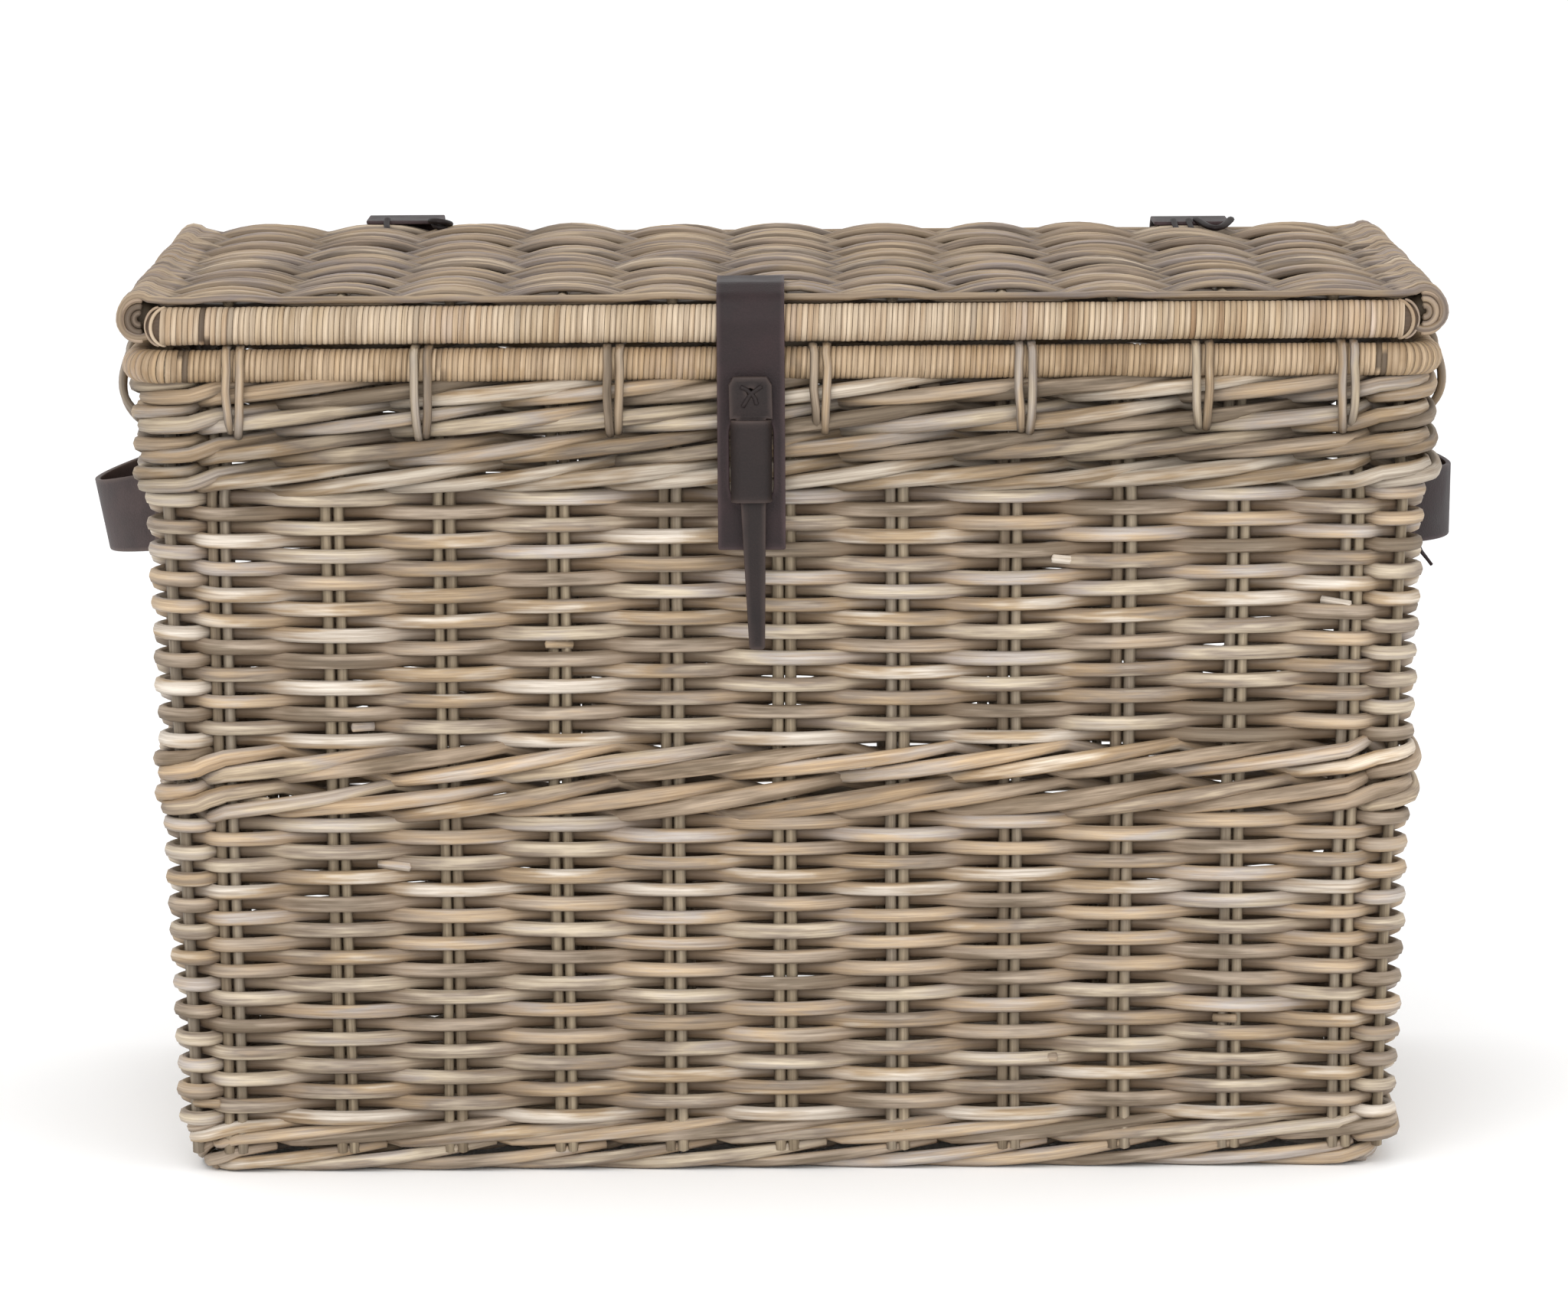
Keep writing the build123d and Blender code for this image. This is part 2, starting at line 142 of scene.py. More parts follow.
BAR_DROP = 1 * MM
BAR_SEAMS = ((36 * MM, 0.0), (52 * MM, 0.5))  # how far from the end, and their shade
LASHING_HALF_WIDTH = 2.7 * MM
LASHING_HALF_GAP = 3.9 * MM
LASHINGS_APART = 20 * MM  # two rods nearer than this are a pair
LASHING_DROP = 1.5 * MM  # less than the rim's
LASHING_INWARD = 1 * MM
LASHING_BOWS = {"left": 5 * MM, "right": 5 * MM, "front": 1.5 * MM, "back": 1.5 * MM}
LASHING_TUCK = 9 * MM  # how far the lower end goes in
LASHING_CLOSES = 0.45  # share of the gap that a pair loses on the way down

# Lid
LID_RIBS = 11
CANES_IN_BUNDLE = 5
CANE_PITCH = 5.35 * MM
CANE_HALF_WIDTH = 2.95 * MM
CANE_HALF_THICKNESS = 2.4 * MM
CANE_OVER_RIB = 1.2 * MM
CANE_UNDER_RIB = 3.9 * MM
BUNDLE_SPREAD = 2.2 * MM
FLAT_AT_EDGE = 0.55
LID_WARP = 7 * MM
ROLL_TURN = (120, -125)  # degrees, from the lid's top outwards and down
ROLL_CROWN = 3.2 * MM
ROLL_RIPPLE = 22 * MM
COIL_REACHES = (0.80, 0.52, 0.24)  # of the roll's half width
COIL_BEYOND_ROLL = 10 * MM
COIL_STEP = 1.5 * MM
SIDE_POLE_SLIMMER = 1.9 * CANE_HALF_THICKNESS
POLE_INWARD = 3 * MM  # of the side poles, from the middle of the CAD rolls

# Base
BASE_STICKS = 11
BASE_SWING = 5.2 * MM

# Leather
LEATHER = 3.5 * MM
LEATHER_ROLL = 0.7 * MM  # radius of the cut edges
EDGE_WEAR = 3 * MM
STRAP_BENDS = (9 * MM, 8 * MM, 10 * MM)  # radii, where a strap goes over the lid's edge
STRAP_ROUNDING = 1.5 * MM
SLOT_MARGIN = 2.5 * MM
SLOT_SIDE_MARGIN = 0.8 * MM
SLOT_ROUNDING = 11 * MM
LOOP_BENDS = (6 * MM, 6 * MM)
LOOP_ROUNDING = 1.2 * MM
PEG_LEAN = 0.02
PEG_TIP_HALF = 3.6 * MM
PEG_TIP_SHOULDER = (4.8 * MM, 1.5 * MM)  # half width, and height over the tip
PEG_HALF_AT_LOOP = 9.2 * MM
PEG_HOLE_BELOW_TOP = 9 * MM
PEG_HOLE = 2.2 * MM
PEG_LACES = [  # in millimetres from the hole, across and up
    ((-6, 3), (-2.5, 1.5), (0, -1)),
    ((6.5, 3.5), (3, 1), (0, -1), (-2.5, -5), (-5, -9)),
    ((0.5, -1), (2.5, -4), (3.5, -7.5)),
]
HANDLES = {
    "left": {"side": -1, "lean": LEFT_LEAN[1], "top_tilt": 4.5 * MM, "sag": 10 * MM},
    "right": {"side": 1, "lean": RIGHT_LEAN[1], "top_tilt": 0.5 * MM, "sag": 5 * MM},
}
HANDLE_LEAN_SHARE = 0.8
HANDLE_ROUNDING = 6 * MM
CROWN_INWARD = 1.5 * MM
HANDLE_HOLE = 1.8 * MM
HANDLE_HOLE_FROM_END = 10 * MM
HANDLE_HOLE_ACROSS = 12 * MM
HANDLE_LIFT = 5 * MM
HANDLE_NARROWS = 0.10
LACE_TAIL = [(0, 0, 0), (2, -1, -6), (6, -2, -11), (9, -3, -15)]  # in millimetres
LACE_TAIL_HALF_WIDTHS = (4.5, 0.6)
EDGE_DROP = 6 * MM
STRAP_REACH = 19 * MM  # how far before the lid's edge the strap starts to bend
STRAP_SHOULDER = 4.5 * MM
HINGE_REACH = -18 * MM
HINGE_SHOULDER = -5 * MM
LACE_STANDS_OFF = 1.28 * MM
KNOT_SIZE = 3.6 * MM
HINGE_ROUNDING = 4 * MM
LACING_FROM_SIDE = 9 * MM
LACING_FROM_END = 18 * MM
LACING_LENGTH = 30 * MM
LACING_BULGE = 1.2 * MM
LEGS_ACROSS = {"left": (-11,), "right": (-12, -2)}
LID_LEG = [(0, 7, 0.8), (0, 0, 1.2), (0, -9, -1), (1, -20, -3.5), (1, -25, -8)]  # in millimetres

# Stage and camera
FLOOR_HALF = 40.0
WORLD_LIGHT = 1.12
KEY_LIGHT = {"place": (-0.7, -3.3, 2.0), "size": 2.6, "power": 62}
FILL_LIGHT = {"place": (2.0, -2.8, 1.2), "size": 2.2, "power": 22}
CAMERA_PLACE = (0.0, -4.385, 0.938)
CAMERA_LENS = 158.4
CAMERA_DOWN = 8.34  # degrees
CAMERA_ROLL = -0.36

# How far things wander from their even places or sizes, and over how many samples
WANDER = {
    "weaver_depth": (0.6 * MM, 17),
    "weaver_height": (0.45 * MM, 13),
    "wale_depth": (1.6 * MM, 15),
    "wale_height": (2.1 * MM, 14),
    "wale_size": (0.09, 22),
    "foot_height": (1.0 * MM, 14),
    "stake_lean": (1.0 * MM, 11),
    "stake": (0.4 * MM, 5),
    "wrap": (0.2 * MM, 32),
    "lashing": (0.6 * MM, 5),
    "bundle": (1.8 * MM, 12),
    "bundle_phase": (0.25, 15),
    "cane_height": (0.7 * MM, 9),
    "cane_place": (1.1 * MM, 14),
    "cane_size": (0.07, 9),
    "cane_on_roll": (0.8 * MM, 6),
    "rib": (0.6 * MM, 6),
    "base_weaver": (0.5 * MM, 12),
}

# Half thicknesses of small rods and laces, out of the surface and along it
SECTIONS = {
    "cut_end": (2.2 * MM, 3.0 * MM),
    "coil": (2.6 * MM, 2.2 * MM),
    "base_stick": (2.6 * MM, STAKE_RADIUS),
    "end_loop": (1.0 * MM, 1.3 * MM),
    "peg_tie": (0.9 * MM, 1.3 * MM),
    "hinge_lace": (1.12 * MM, 2.08 * MM),
    "lid_leg": (1.3 * MM, 2.0 * MM),
    "lid_curl": (2.0 * MM, 2.6 * MM),
}

# Mesh and texture
ROD_SIDES = 8
CANE_SIDES = 6
CORE_SIDES = 16
CAP_LENGTH = 0.4  # of a rod's half thickness
GRAIN_SHIFT = 0.37  # between one rod's texture and the next


# ---------------------------------------------------------------- mesh building

class Rods:
    """Rods gathered into one mesh, with the attributes that the materials read."""

    def __init__(self):
        self.points, self.quads, self.triangles = [], [], []
        self.tints, self.shades, self.grains = [], [], []
        self.count = 0

    def add(self, path, out, half_out, half_side, tint=0.5, shade=1.0, sides=ROD_SIDES,
            closed=False, capped=True, groove_shade=0.2):
        """One rod along path. out points away from the surface that the rod lies on.
        shade is painted shade, 1 in the open and 0 in a hollow, and the groove value is how much painted
        shade the rod's sides get."""
        path = np.asarray(path, float)
        total = len(path)
        along = tangents(path, closed)
        out = np.broadcast_to(np.asarray(out, float), path.shape)
        out = unit(out - along * np.sum(out * along, axis=1, keepdims=True))
        side = np.cross(along, out)
        turn = np.linspace(0, 2 * np.pi, sides, endpoint=False)
        half_out = np.broadcast_to(half_out, total)
        outward = half_out[:, None] * np.cos(turn)
        sideways = np.broadcast_to(half_side, total)[:, None] * np.sin(turn)
        ring = path[:, None] + out[:, None] * outward[..., None] + side[:, None] * sideways[..., None]
        travelled = np.concatenate([[0], np.cumsum(np.linalg.norm(np.diff(path, axis=0), axis=1))])
        grain = columns(travelled[:, None] + self.count * GRAIN_SHIFT, outward, sideways).reshape(-1, 3)
        tints = np.repeat(np.broadcast_to(tint, total), sides)
        # painted shade: each rod darkens towards its sides, across from its out direction
        shades = (np.broadcast_to(shade, total)[:, None] * (1 - groove_shade * np.sin(turn) ** 2)).ravel()
        index = self.count + np.arange(total * sides).reshape(total, sides)
        self._keep(ring.reshape(-1, 3), tints, shades, grain)
        ahead = np.roll(index, -1, axis=0)
        quads = np.stack([index, ahead, np.roll(ahead, -1, axis=1), np.roll(index, -1, axis=1)], axis=-1)
        self.quads.append((quads if closed else quads[:-1]).reshape(-1, 4))
        if capped and not closed:
            length = CAP_LENGTH * half_out
            like_first = (tints[:1], shades[:1], grain[:1])
            self._cap(path[0] - along[0] * length[0], index[0], like_first)
            self._cap(path[-1] + along[-1] * length[-1], index[-1][::-1], like_first)

    def _keep(self, points, tints, shades, grains):
        self.points.append(points)
        self.tints.append(tints)
        self.shades.append(shades)
        self.grains.append(grains)
        self.count += len(points)

    def _cap(self, centre, around, values):
        middle = np.full(len(around), self.count)
        self.triangles.append(np.stack([middle, around, np.roll(around, -1)], axis=-1))
        self._keep(centre[None], *values)

    def build(self, name, material):
        points = np.concatenate(self.points)
        quads = np.concatenate(self.quads)
        triangles = np.concatenate(self.triangles) if self.triangles else np.zeros((0, 3), int)
        corners = np.concatenate([quads.ravel(), triangles.ravel()])
        sizes = np.concatenate([np.full(len(quads), 4), np.full(len(triangles), 3)])
        starts = np.concatenate([[0], np.cumsum(sizes)[:-1]])
        mesh = bpy.data.meshes.new(name)
        mesh.vertices.add(len(points))
        mesh.vertices.foreach_set("co", points.astype(np.float32).ravel())
        mesh.loops.add(len(corners))
        mesh.loops.foreach_set("vertex_index", corners.astype(np.int32))
        mesh.polygons.add(len(sizes))
        mesh.polygons.foreach_set("loop_start", starts.astype(np.int32))
        mesh.polygons.foreach_set("use_smooth", np.ones(len(sizes), bool))
        mesh.update(calc_edges=True)
        add_attribute(mesh, "tint", "FLOAT", np.concatenate(self.tints))
        add_attribute(mesh, "shade", "FLOAT", np.concatenate(self.shades))
        add_attribute(mesh, "grain", "FLOAT_VECTOR", np.concatenate(self.grains))
        return add_object(name, mesh, material)


def add_object(name, mesh, material):
    mesh.materials.clear()
    mesh.materials.append(material)
    piece = bpy.data.objects.new(name, mesh)
    bpy.context.collection.objects.link(piece)
    return piece


def add_attribute(mesh, name, kind, values):
    attribute = mesh.attributes.new(name, kind, "POINT")
    key = "vector" if kind == "FLOAT_VECTOR" else "value"
    attribute.data.foreach_set(key, np.asarray(values, np.float32).ravel())


def columns(x, y, z):
    """Points from their three coordinates, where one number may stand for all."""
    return np.stack(np.broadcast_arrays(x, y, z), axis=-1).astype(float)


def unit(vectors):
    return vectors / np.maximum(np.linalg.norm(vectors, axis=-1, keepdims=True), 1e-12)


def tangents(path, closed):
    if closed:
        return unit(np.roll(path, -1, axis=0) - np.roll(path, 1, axis=0))
    return unit(np.gradient(path, axis=0))


def smooth_noise(rng, length, spacing):
    """Gentle random values from -1 to 1, one for each of length samples."""
    knots = rng.uniform(-1, 1, max(4, int(length / spacing) + 3))
    return np.interp(np.linspace(0, len(knots) - 1, length), np.arange(len(knots)), knots)


def wander(rng, kind, count):
    reach, spacing = WANDER[kind]
    return reach * smooth_noise(rng, count, spacing)


def flattened(wave, roundness):
    """A cosine with flat crests and steep flanks, where roundness 1 leaves it as it is."""
    return wave / np.sqrt(wave ** 2 + roundness * (1 - wave ** 2))


def box_middle(name):
    low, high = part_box(name)
    return (np.array(low) + high) / 2


def place_piece(piece, body, nodes):
    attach(piece, body)
    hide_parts(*nodes)
    return piece


def place_extra(piece, body):
    """A piece that stands for no CAD node."""
    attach(piece, body)


# ---------------------------------------------------------------- the wall's shape, from the frame

def wall_measures():
    """Half sizes of the middle of the wall at floor level, and how fast it leans out."""
    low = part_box("lower_weave_right")
    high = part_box("upper_weave_right")
    flare = (high[1][0] - low[1][0]) / (high[1][2] - low[1][2])
    half_width = low[1][0] - WEAVE_STANDS_OUT - flare * low[1][2]
    half_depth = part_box("lower_weave_back")[1][1] - WEAVE_STANDS_OUT - flare * low[1][2]
    return half_width, half_depth, flare


HALF_WIDTH, HALF_DEPTH, FLARE = wall_measures()
STRAIGHT_X = 2 * (HALF_WIDTH - CORNER_RADIUS)
STRAIGHT_Y = 2 * (HALF_DEPTH - CORNER_RADIUS)
CORNER_LENGTH = math.pi / 2 * CORNER_RADIUS
ROUND_LENGTH = 2 * (STRAIGHT_X + STRAIGHT_Y) + 4 * CORNER_LENGTH


def wall_point(place, z, offset=0.0):
    """Points and outward directions at distances along the wall, going down the left side from the
    back corner, along the front, up the right side and along the back."""
    place = np.mod(np.asarray(place, float), ROUND_LENGTH)
    cx, cy = HALF_WIDTH - CORNER_RADIUS, HALF_DEPTH - CORNER_RADIUS
    runs = [
        ((-cx, cy), (0, -1), (-1, 0), STRAIGHT_Y, (-cx, -cy)),
        ((-cx, -cy), (1, 0), (0, -1), STRAIGHT_X, (cx, -cy)),
        ((cx, -cy), (0, 1), (1, 0), STRAIGHT_Y, (cx, cy)),
        ((cx, cy), (-1, 0), (0, 1), STRAIGHT_X, (-cx, cy)),
    ]
    point = np.zeros(place.shape + (3,))
    outward = np.zeros(place.shape + (3,))
    start = 0.0
    for corner, heading, away, length, next_corner in runs:
        heading, away = np.array(heading, float), np.array(away, float)
        on_run = (place >= start) & (place < start + length)
        travel = (place - start)[on_run][:, None]
        point[on_run, :2] = np.array(corner) + travel * heading + away * CORNER_RADIUS
        outward[on_run, :2] = away
        start += length
        on_bend = (place >= start) & (place < start + CORNER_LENGTH)
        angle = ((place - start)[on_bend] / CORNER_RADIUS)[:, None]
        direction = np.cos(angle) * away + np.sin(angle) * heading
        point[on_bend, :2] = np.array(next_corner) + direction * CORNER_RADIUS
        outward[on_bend, :2] = direction
        start += CORNER_LENGTH
    z = np.broadcast_to(z, place.shape)
    point += outward * (FLARE * z + offset)[..., None]
    point[..., 2] = z
    left, right = (np.interp(z, LEAN_HEIGHTS, lean) for lean in (LEFT_LEAN, RIGHT_LEAN))
    point[..., 0] *= 1 + np.where(point[..., 0] < 0, left, right) / HALF_WIDTH
    return point, outward


def stake_knots():
    """Where along the wall each pair of stakes stands, with a single stake on each corner, and the
    numbers of the single ones."""
    knots, singles = [], []
    start = 0.0
    for side, pairs in STAKE_PAIRS.items():
        low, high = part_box(f"stakes_{side}")
        axis, length = (1, STRAIGHT_Y) if side in ("left", "right") else (0, STRAIGHT_X)
        reach = (high[axis] - low[axis]) / 2 - STAKE_RADIUS - STAKE_PAIR_HALF_GAP
        knots += [start + length / 2 + place for place in np.linspace(-reach, reach, pairs)]
        start += length
        singles.append(len(knots))
        knots.append(start + CORNER_LENGTH / 2)
        start += CORNER_LENGTH
    return np.array(knots), singles


KNOTS, SINGLE_STAKES = stake_knots()
STAKES = len(KNOTS)
ROUND = np.arange(0, STAKES, 1 / SAMPLES_PER_STAKE)
ROUND_AND_ON = np.arange(0, STAKES + 1e-6, 1 / SAMPLES_PER_STAKE)  # up to the first stake again


def place_at(stake):
    """The distance along the wall of a stake number, which may be a fraction."""
    wrapped = np.concatenate([[KNOTS[-1] - ROUND_LENGTH], KNOTS, [KNOTS[0] + ROUND_LENGTH]])
    return np.interp(stake, np.arange(-1, STAKES + 1), wrapped)


def rod_runs(rng, stakes, first_end, period):
    """Tint and thickness along a round that is made of several rods. A rod ends behind a stake,
    where the next one starts, and the places behind a stake come once in every period."""
    tint = np.zeros(len(stakes))
    size = np.zeros(len(stakes))
    begin = first_end
    while begin < stakes[-1] + 1:
        length = period * rng.integers(*ROD_PERIODS[period])
        inside = (stakes >= begin) & (stakes < begin + length)
        share = (stakes[inside] - begin) / length
        butt_first = rng.random() < 0.5
        share = 1 - share if butt_first else share
        tint[inside] = rng.random()
        size[inside] = rng.uniform(*ROD_SIZES) - ROD_TAPER * share
        begin += length
    return tint, size


# ---------------------------------------------------------------- basket bands

def row_sway(rng):
    """How far rows wander up and down together, as a function of row and stake."""
    waves = [(rng.integers(1, 9), rng.uniform(0, 2 * np.pi), rng.uniform(-0.35, 0.35)) for _ in range(6)]

    def sway(row, stakes):
        around = 2 * np.pi * stakes / STAKES
        return sum(np.sin(cycles * around + phase + drift * row) for cycles, phase, drift in waves) / 3

    return sway


def plain_weave(name, rng, material):
    """Single weavers in front of one pair of stakes and behind the next, row on row."""
    low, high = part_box(f"{name}_front")
    rows = round((high[2] - low[2]) / WEAVER_PITCH)
    pitch = (high[2] - low[2]) / rows
    sway = row_sway(rng)
    rods = Rods()
    for row in range(rows):
        parity = row % 2
        level = low[2] + (row + 0.5) * pitch
        wave = np.cos(np.pi * (ROUND + parity))
        swing = flattened(wave, 0.7)
        tint, size = rod_runs(rng, ROUND, -1 - parity, 2)
        offset = swing * (STAKE_RADIUS + WEAVER_HALF_DEPTH * size)
        offset += wander(rng, "weaver_depth", len(ROUND))
        from_edge = np.sin(np.pi * (row + 0.5) / rows)
        climb = wander(rng, "weaver_height", len(ROUND))
        climb[0] = climb[-1] = 0
        z = level + ROW_SWAY * from_edge * sway(row, ROUND) + climb
        path, out = wall_point(place_at(ROUND), z, offset)
        # painted shade: a weaver darkens where it passes behind the stakes
        crown = 0.5 + 0.5 * swing
        half_side = WEAVER_HALF_HEIGHT * size * (1 - 0.06 * np.abs(wave))
        rods.add(path, out, WEAVER_HALF_DEPTH * size, half_side, tint, crown, closed=True)
        if row % ROWS_PER_CUT_ENDS == 1:
            cut_ends(rods, rng, level)
    return rods.build(name, material)


def cut_ends(rods, rng, z, count=3):
    """Cut ends of weavers that stand out a little beside their stakes."""
    for _ in range(count):
        start = place_at(rng.uniform(0, STAKES))
        along = np.linspace(0, rng.uniform(*CUT_END_LENGTHS) * MM, 5) * rng.choice([-1, 1])
        climb = np.linspace(0, rng.uniform(-CUT_END_CLIMB, CUT_END_CLIMB) * MM, 5)
        path, out = wall_point(start + along, z + climb, np.linspace(0.5, 6.5, 5) * MM)
        # slight painted shade on the cut ends
        rods.add(path, out, *SECTIONS["cut_end"], rng.random(), 0.9, sides=CANE_SIDES)


def strand_course(strand, stands_out, goes_in, inner_power=1.0):
    """A waled strand goes in front of two stakes and behind one. Along the round: how far it is
    from the stakes, how far it has climbed (0 to 1), and how far in front it is (0 to 1)."""
    phase = np.mod(ROUND_AND_ON + strand + 0.5, 3.0)
    in_front = phase < 2.0
    front = np.sin(np.pi * np.clip(phase, 0, 2) / 2) ** 0.6
    behind = np.sin(np.pi * np.clip(phase - 2, 0, 1)) ** inner_power
    offset = np.where(in_front, stands_out * front, -goes_in * behind)
    return offset, np.where(in_front, phase / 2, 3 - phase), front, in_front


def wale(name, rng, material, rows, stands_out, half_height, rise):
    """Rows of three rods that each pass in front of two stakes and behind one, rising to the right.
    The lower rows are duller."""
    low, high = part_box(f"{name}_front")
    row_height = (high[2] - low[2]) / rows
    count = len(ROUND_AND_ON)
    rods = Rods()
    for row in range(rows):
        middle = low[2] + (row + 0.5) * row_height
        for strand in range(3):
            offset, climb, front, in_front = strand_course(strand, stands_out, WALE_GOES_IN, 0.8)
            offset += wander(rng, "wale_depth", count)
            tint, size = rod_runs(rng, ROUND_AND_ON + strand, -1, 3)
            size = size * (1 + wander(rng, "wale_size", count))
            z = middle + rise * (climb - 0.5) + wander(rng, "wale_height", count)
            path, out = wall_point(place_at(ROUND_AND_ON), z, offset)
            # painted shade: a strand darkens where it passes behind the stakes, and the lower rows are
            # darker
            crown = np.clip(0.5 + offset / stands_out / 2, 0, 1) * np.interp(row, [0, rows - 1], [0.82, 1])
            half_side = half_height * size * (0.72 + 0.28 * np.where(in_front, front, 0.6))
            rods.add(path, out, half_side * WALE_FLATNESS, half_side, tint, crown, capped=False)
        cut_ends(rods, rng, middle, 6)
    return rods.build(name, material)


def foot_border(rng, material):
    """One waled row under the weave, and below it the stakes' ends turned down and to the right,
    each over the next. The border draws in towards the floor."""
    row_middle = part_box("foot_border_front")[1][2] - FOOT_ROW_BELOW_TOP
    place = place_at(ROUND_AND_ON)
    rods = Rods()
    for strand in range(3):
        offset, climb, front, _ = strand_course(strand, FOOT_STANDS_OUT, FOOT_GOES_IN)
        offset -= FOOT_INSET
        tint, size = rod_runs(rng, ROUND_AND_ON + strand, -1, 3)
        z = row_middle + FOOT_ROW_RISE * (climb - 0.5) + wander(rng, "foot_height", len(place))
        on_right = wall_point(place, z)[0][:, 0] > HALF_WIDTH - FOOT_BULGE_FROM_EDGE
        bulge = np.convolve(np.pad(FOOT_BULGE * on_right, 4, "edge"), np.full(9, 1 / 9), "valid")
        path, out = wall_point(place, z, offset + bulge)
        half_side = FOOT_HALF_HEIGHT * size * (0.7 + 0.3 * front)
        # painted shade: the foot row darkens where it goes in behind the stakes
        crown = np.clip(0.8 + offset / (8 * MM), 0, 1)
        rods.add(path, out, half_side * FOOT_FLATNESS, half_side, tint, crown, capped=False)
    for stake in range(STAKES):
        turned_stake(rods, rng, stake)
    return rods.build("foot_border", material)


def turned_stake(rods, rng, stake):
    """A stake's end, turned down under the next stake and laid along the floor."""
    step = np.linspace(0, 1, 22)
    arch = np.sin(np.pi * step)
    along = stake - TURN_STARTS + TURN_REACH * step
    rise = np.clip((step - 0.25) / 0.75, 0, 1)
    climb = (TURN_CLIMB + rng.uniform(-TURN_CLIMB_SPREAD, TURN_CLIMB_SPREAD)) * MM
    z = TURN_FLOOR + climb * rise ** 1.5
    to_corner = np.min([np.abs(along - corner) for corner in SINGLE_STAKES], axis=0)
    at_corner = np.clip(1 - to_corner, 0, 1) ** 1.5 * (1 - rise)
    draw_in = TURN_DRAWN_IN - TURN_LESS_AT_TOP * rise + TURN_MORE_AT_CORNER * at_corner
    path, out = wall_point(place_at(along), z, TURN_ARCH * arch - FOOT_INSET - draw_in)
    half_side = FOOT_HALF_HEIGHT * rng.uniform(0.9, 1.08) * (0.75 + 0.25 * arch)
    # painted shade: a turned stake darkens towards its ends, where it tucks under
    rods.add(path, out, half_side * FOOT_FLATNESS, half_side, rng.random() * 0.8, 0.35 + 0.65 * arch)


def upright_stakes(rng, material):
    """Pairs of upright rods, and single ones on the corners."""
    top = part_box("stakes_front")[1][2]
    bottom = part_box("foot_border_front")[0][2] + FOOT_ROW_RISE
    z = np.linspace(bottom, top, 34)
    rods = Rods()
    for index, knot in enumerate(KNOTS):
        shifts = (0.0,) if index in SINGLE_STAKES else (-STAKE_PAIR_HALF_GAP, STAKE_PAIR_HALF_GAP)
        lean = rng.uniform(-1, 1) * wander(rng, "stake_lean", len(z))
        for shift in shifts:
            path, out = wall_point(knot + shift + lean + wander(rng, "stake", len(z)), z)
            size = STAKE_RADIUS * rng.uniform(0.93, 1.05)
            # painted shade, a little all over and more on each stake's sides
            rods.add(path, out, size, size, rng.random(), 0.95, groove_shade=0.6)
    return rods.build("stakes", material)


# ---------------------------------------------------------------- wound poles

def wound_pole(name, start, end, radius, rng, material, facing):
    """A pole with round ends, a strip of cane wound round it, and two loops of strip over each end,
    on the side that facing (1 or -1, along Y) points to."""
    along = unit(end - start)
    length = np.linalg.norm(end - start)
    across = np.cross(UP, along)
    inset = radius * POLE_END_INSET
    turns = (length - 2 * inset) / WRAP_PITCH
    angle = np.linspace(0, 2 * np.pi * turns, int(turns * WRAP_SAMPLES))
    wobble = wander(rng, "wrap", len(angle))
    travel = inset + angle / (2 * np.pi) * WRAP_PITCH
    drop = np.clip(1 - np.minimum(travel, length - travel) / (POLE_END_ROUNDING * radius), 0, 1)
    ring_radius = radius * np.sqrt(np.maximum(1 - drop ** 2, 0.05)) - WRAP_HALF_THICKNESS + wobble
    radial = np.cos(angle)[:, None] * UP + np.sin(angle)[:, None] * across
    path = start + travel[:, None] * along + radial * ring_radius[:, None]
    tint, shade = turn_tones(rng, angle)
    for place, seam_shade in BAR_SEAMS:
        shade[np.abs(travel - place) < WRAP_PITCH * 0.55] = seam_shade
    rods = Rods()
    half_side = WRAP_PITCH * WRAP_HALF_WIDTH
    rods.add(path, radial, WRAP_HALF_THICKNESS, half_side, tint, shade, sides=CANE_SIDES,
             groove_shade=WRAP_GROOVE_SHADE)
    for tip, outward in ((start, -along), (end, along)):
        end_loops(rods, tip, outward, radius, facing)
    wrap = rods.build(f"{name}_wrap", material)
    core = Rods()
    steps = np.linspace(0, 1, 9)
    rounding = radius * (1 - np.cos(steps * np.pi / 2))
    ends = np.concatenate([rounding, [length / 2], length - rounding[::-1]])
    sizes = np.concatenate([np.sin(steps * np.pi / 2), [1], np.sin(steps[::-1] * np.pi / 2)])
    core_radius = np.maximum(sizes * (radius - POLE_UNDER_WRAP), 0.2 * MM)
    # painted shade: the pole under the wrap is fully shaded, so the gaps between turns read dark
    core.add(start + ends[:, None] * along, UP, core_radius, core_radius, 0.0, 0.0, sides=CORE_SIDES)
    return wrap, core.build(f"{name}_pole", material)


def end_loops(rods, tip, outward, radius, facing):
    """Two loops of strip over a pole's round end."""
    bend = np.radians(np.linspace(-82, 82, 18))[:, None]
    for inward, tint in LOOPS:
        reach = inward - 0.8 * np.cos(bend)
        dome = np.sqrt(1 - np.clip(1 - reach, 0, 1) ** 2)
        forward = facing * np.sqrt(np.clip(dome ** 2 - np.sin(bend) ** 2, 0, 1))
        loop = tip + (UP * np.sin(bend) - outward * reach + np.array([0, 1, 0]) * forward) * radius
        rods.add(loop, loop - tip + outward * radius, *SECTIONS["end_loop"], tint, sides=CANE_SIDES)


def turn_tones(rng, angle):
    """Tint and shade for a wound strip, turn by turn, with slow patches and the odd dark seam."""
    turn_number = (angle / (2 * np.pi)).astype(int)
    turns = turn_number.max() + 1
    slow = 0.5 + 0.5 * smooth_noise(rng, turns, 9)
    tint = np.clip(0.2 * rng.random(turns) + 0.8 * slow, 0, 1)
    seam = np.where(rng.random(turns) < DARK_TURNS, DARK_TURN_SHADE, 1.0)
    return tint[turn_number], seam[turn_number]


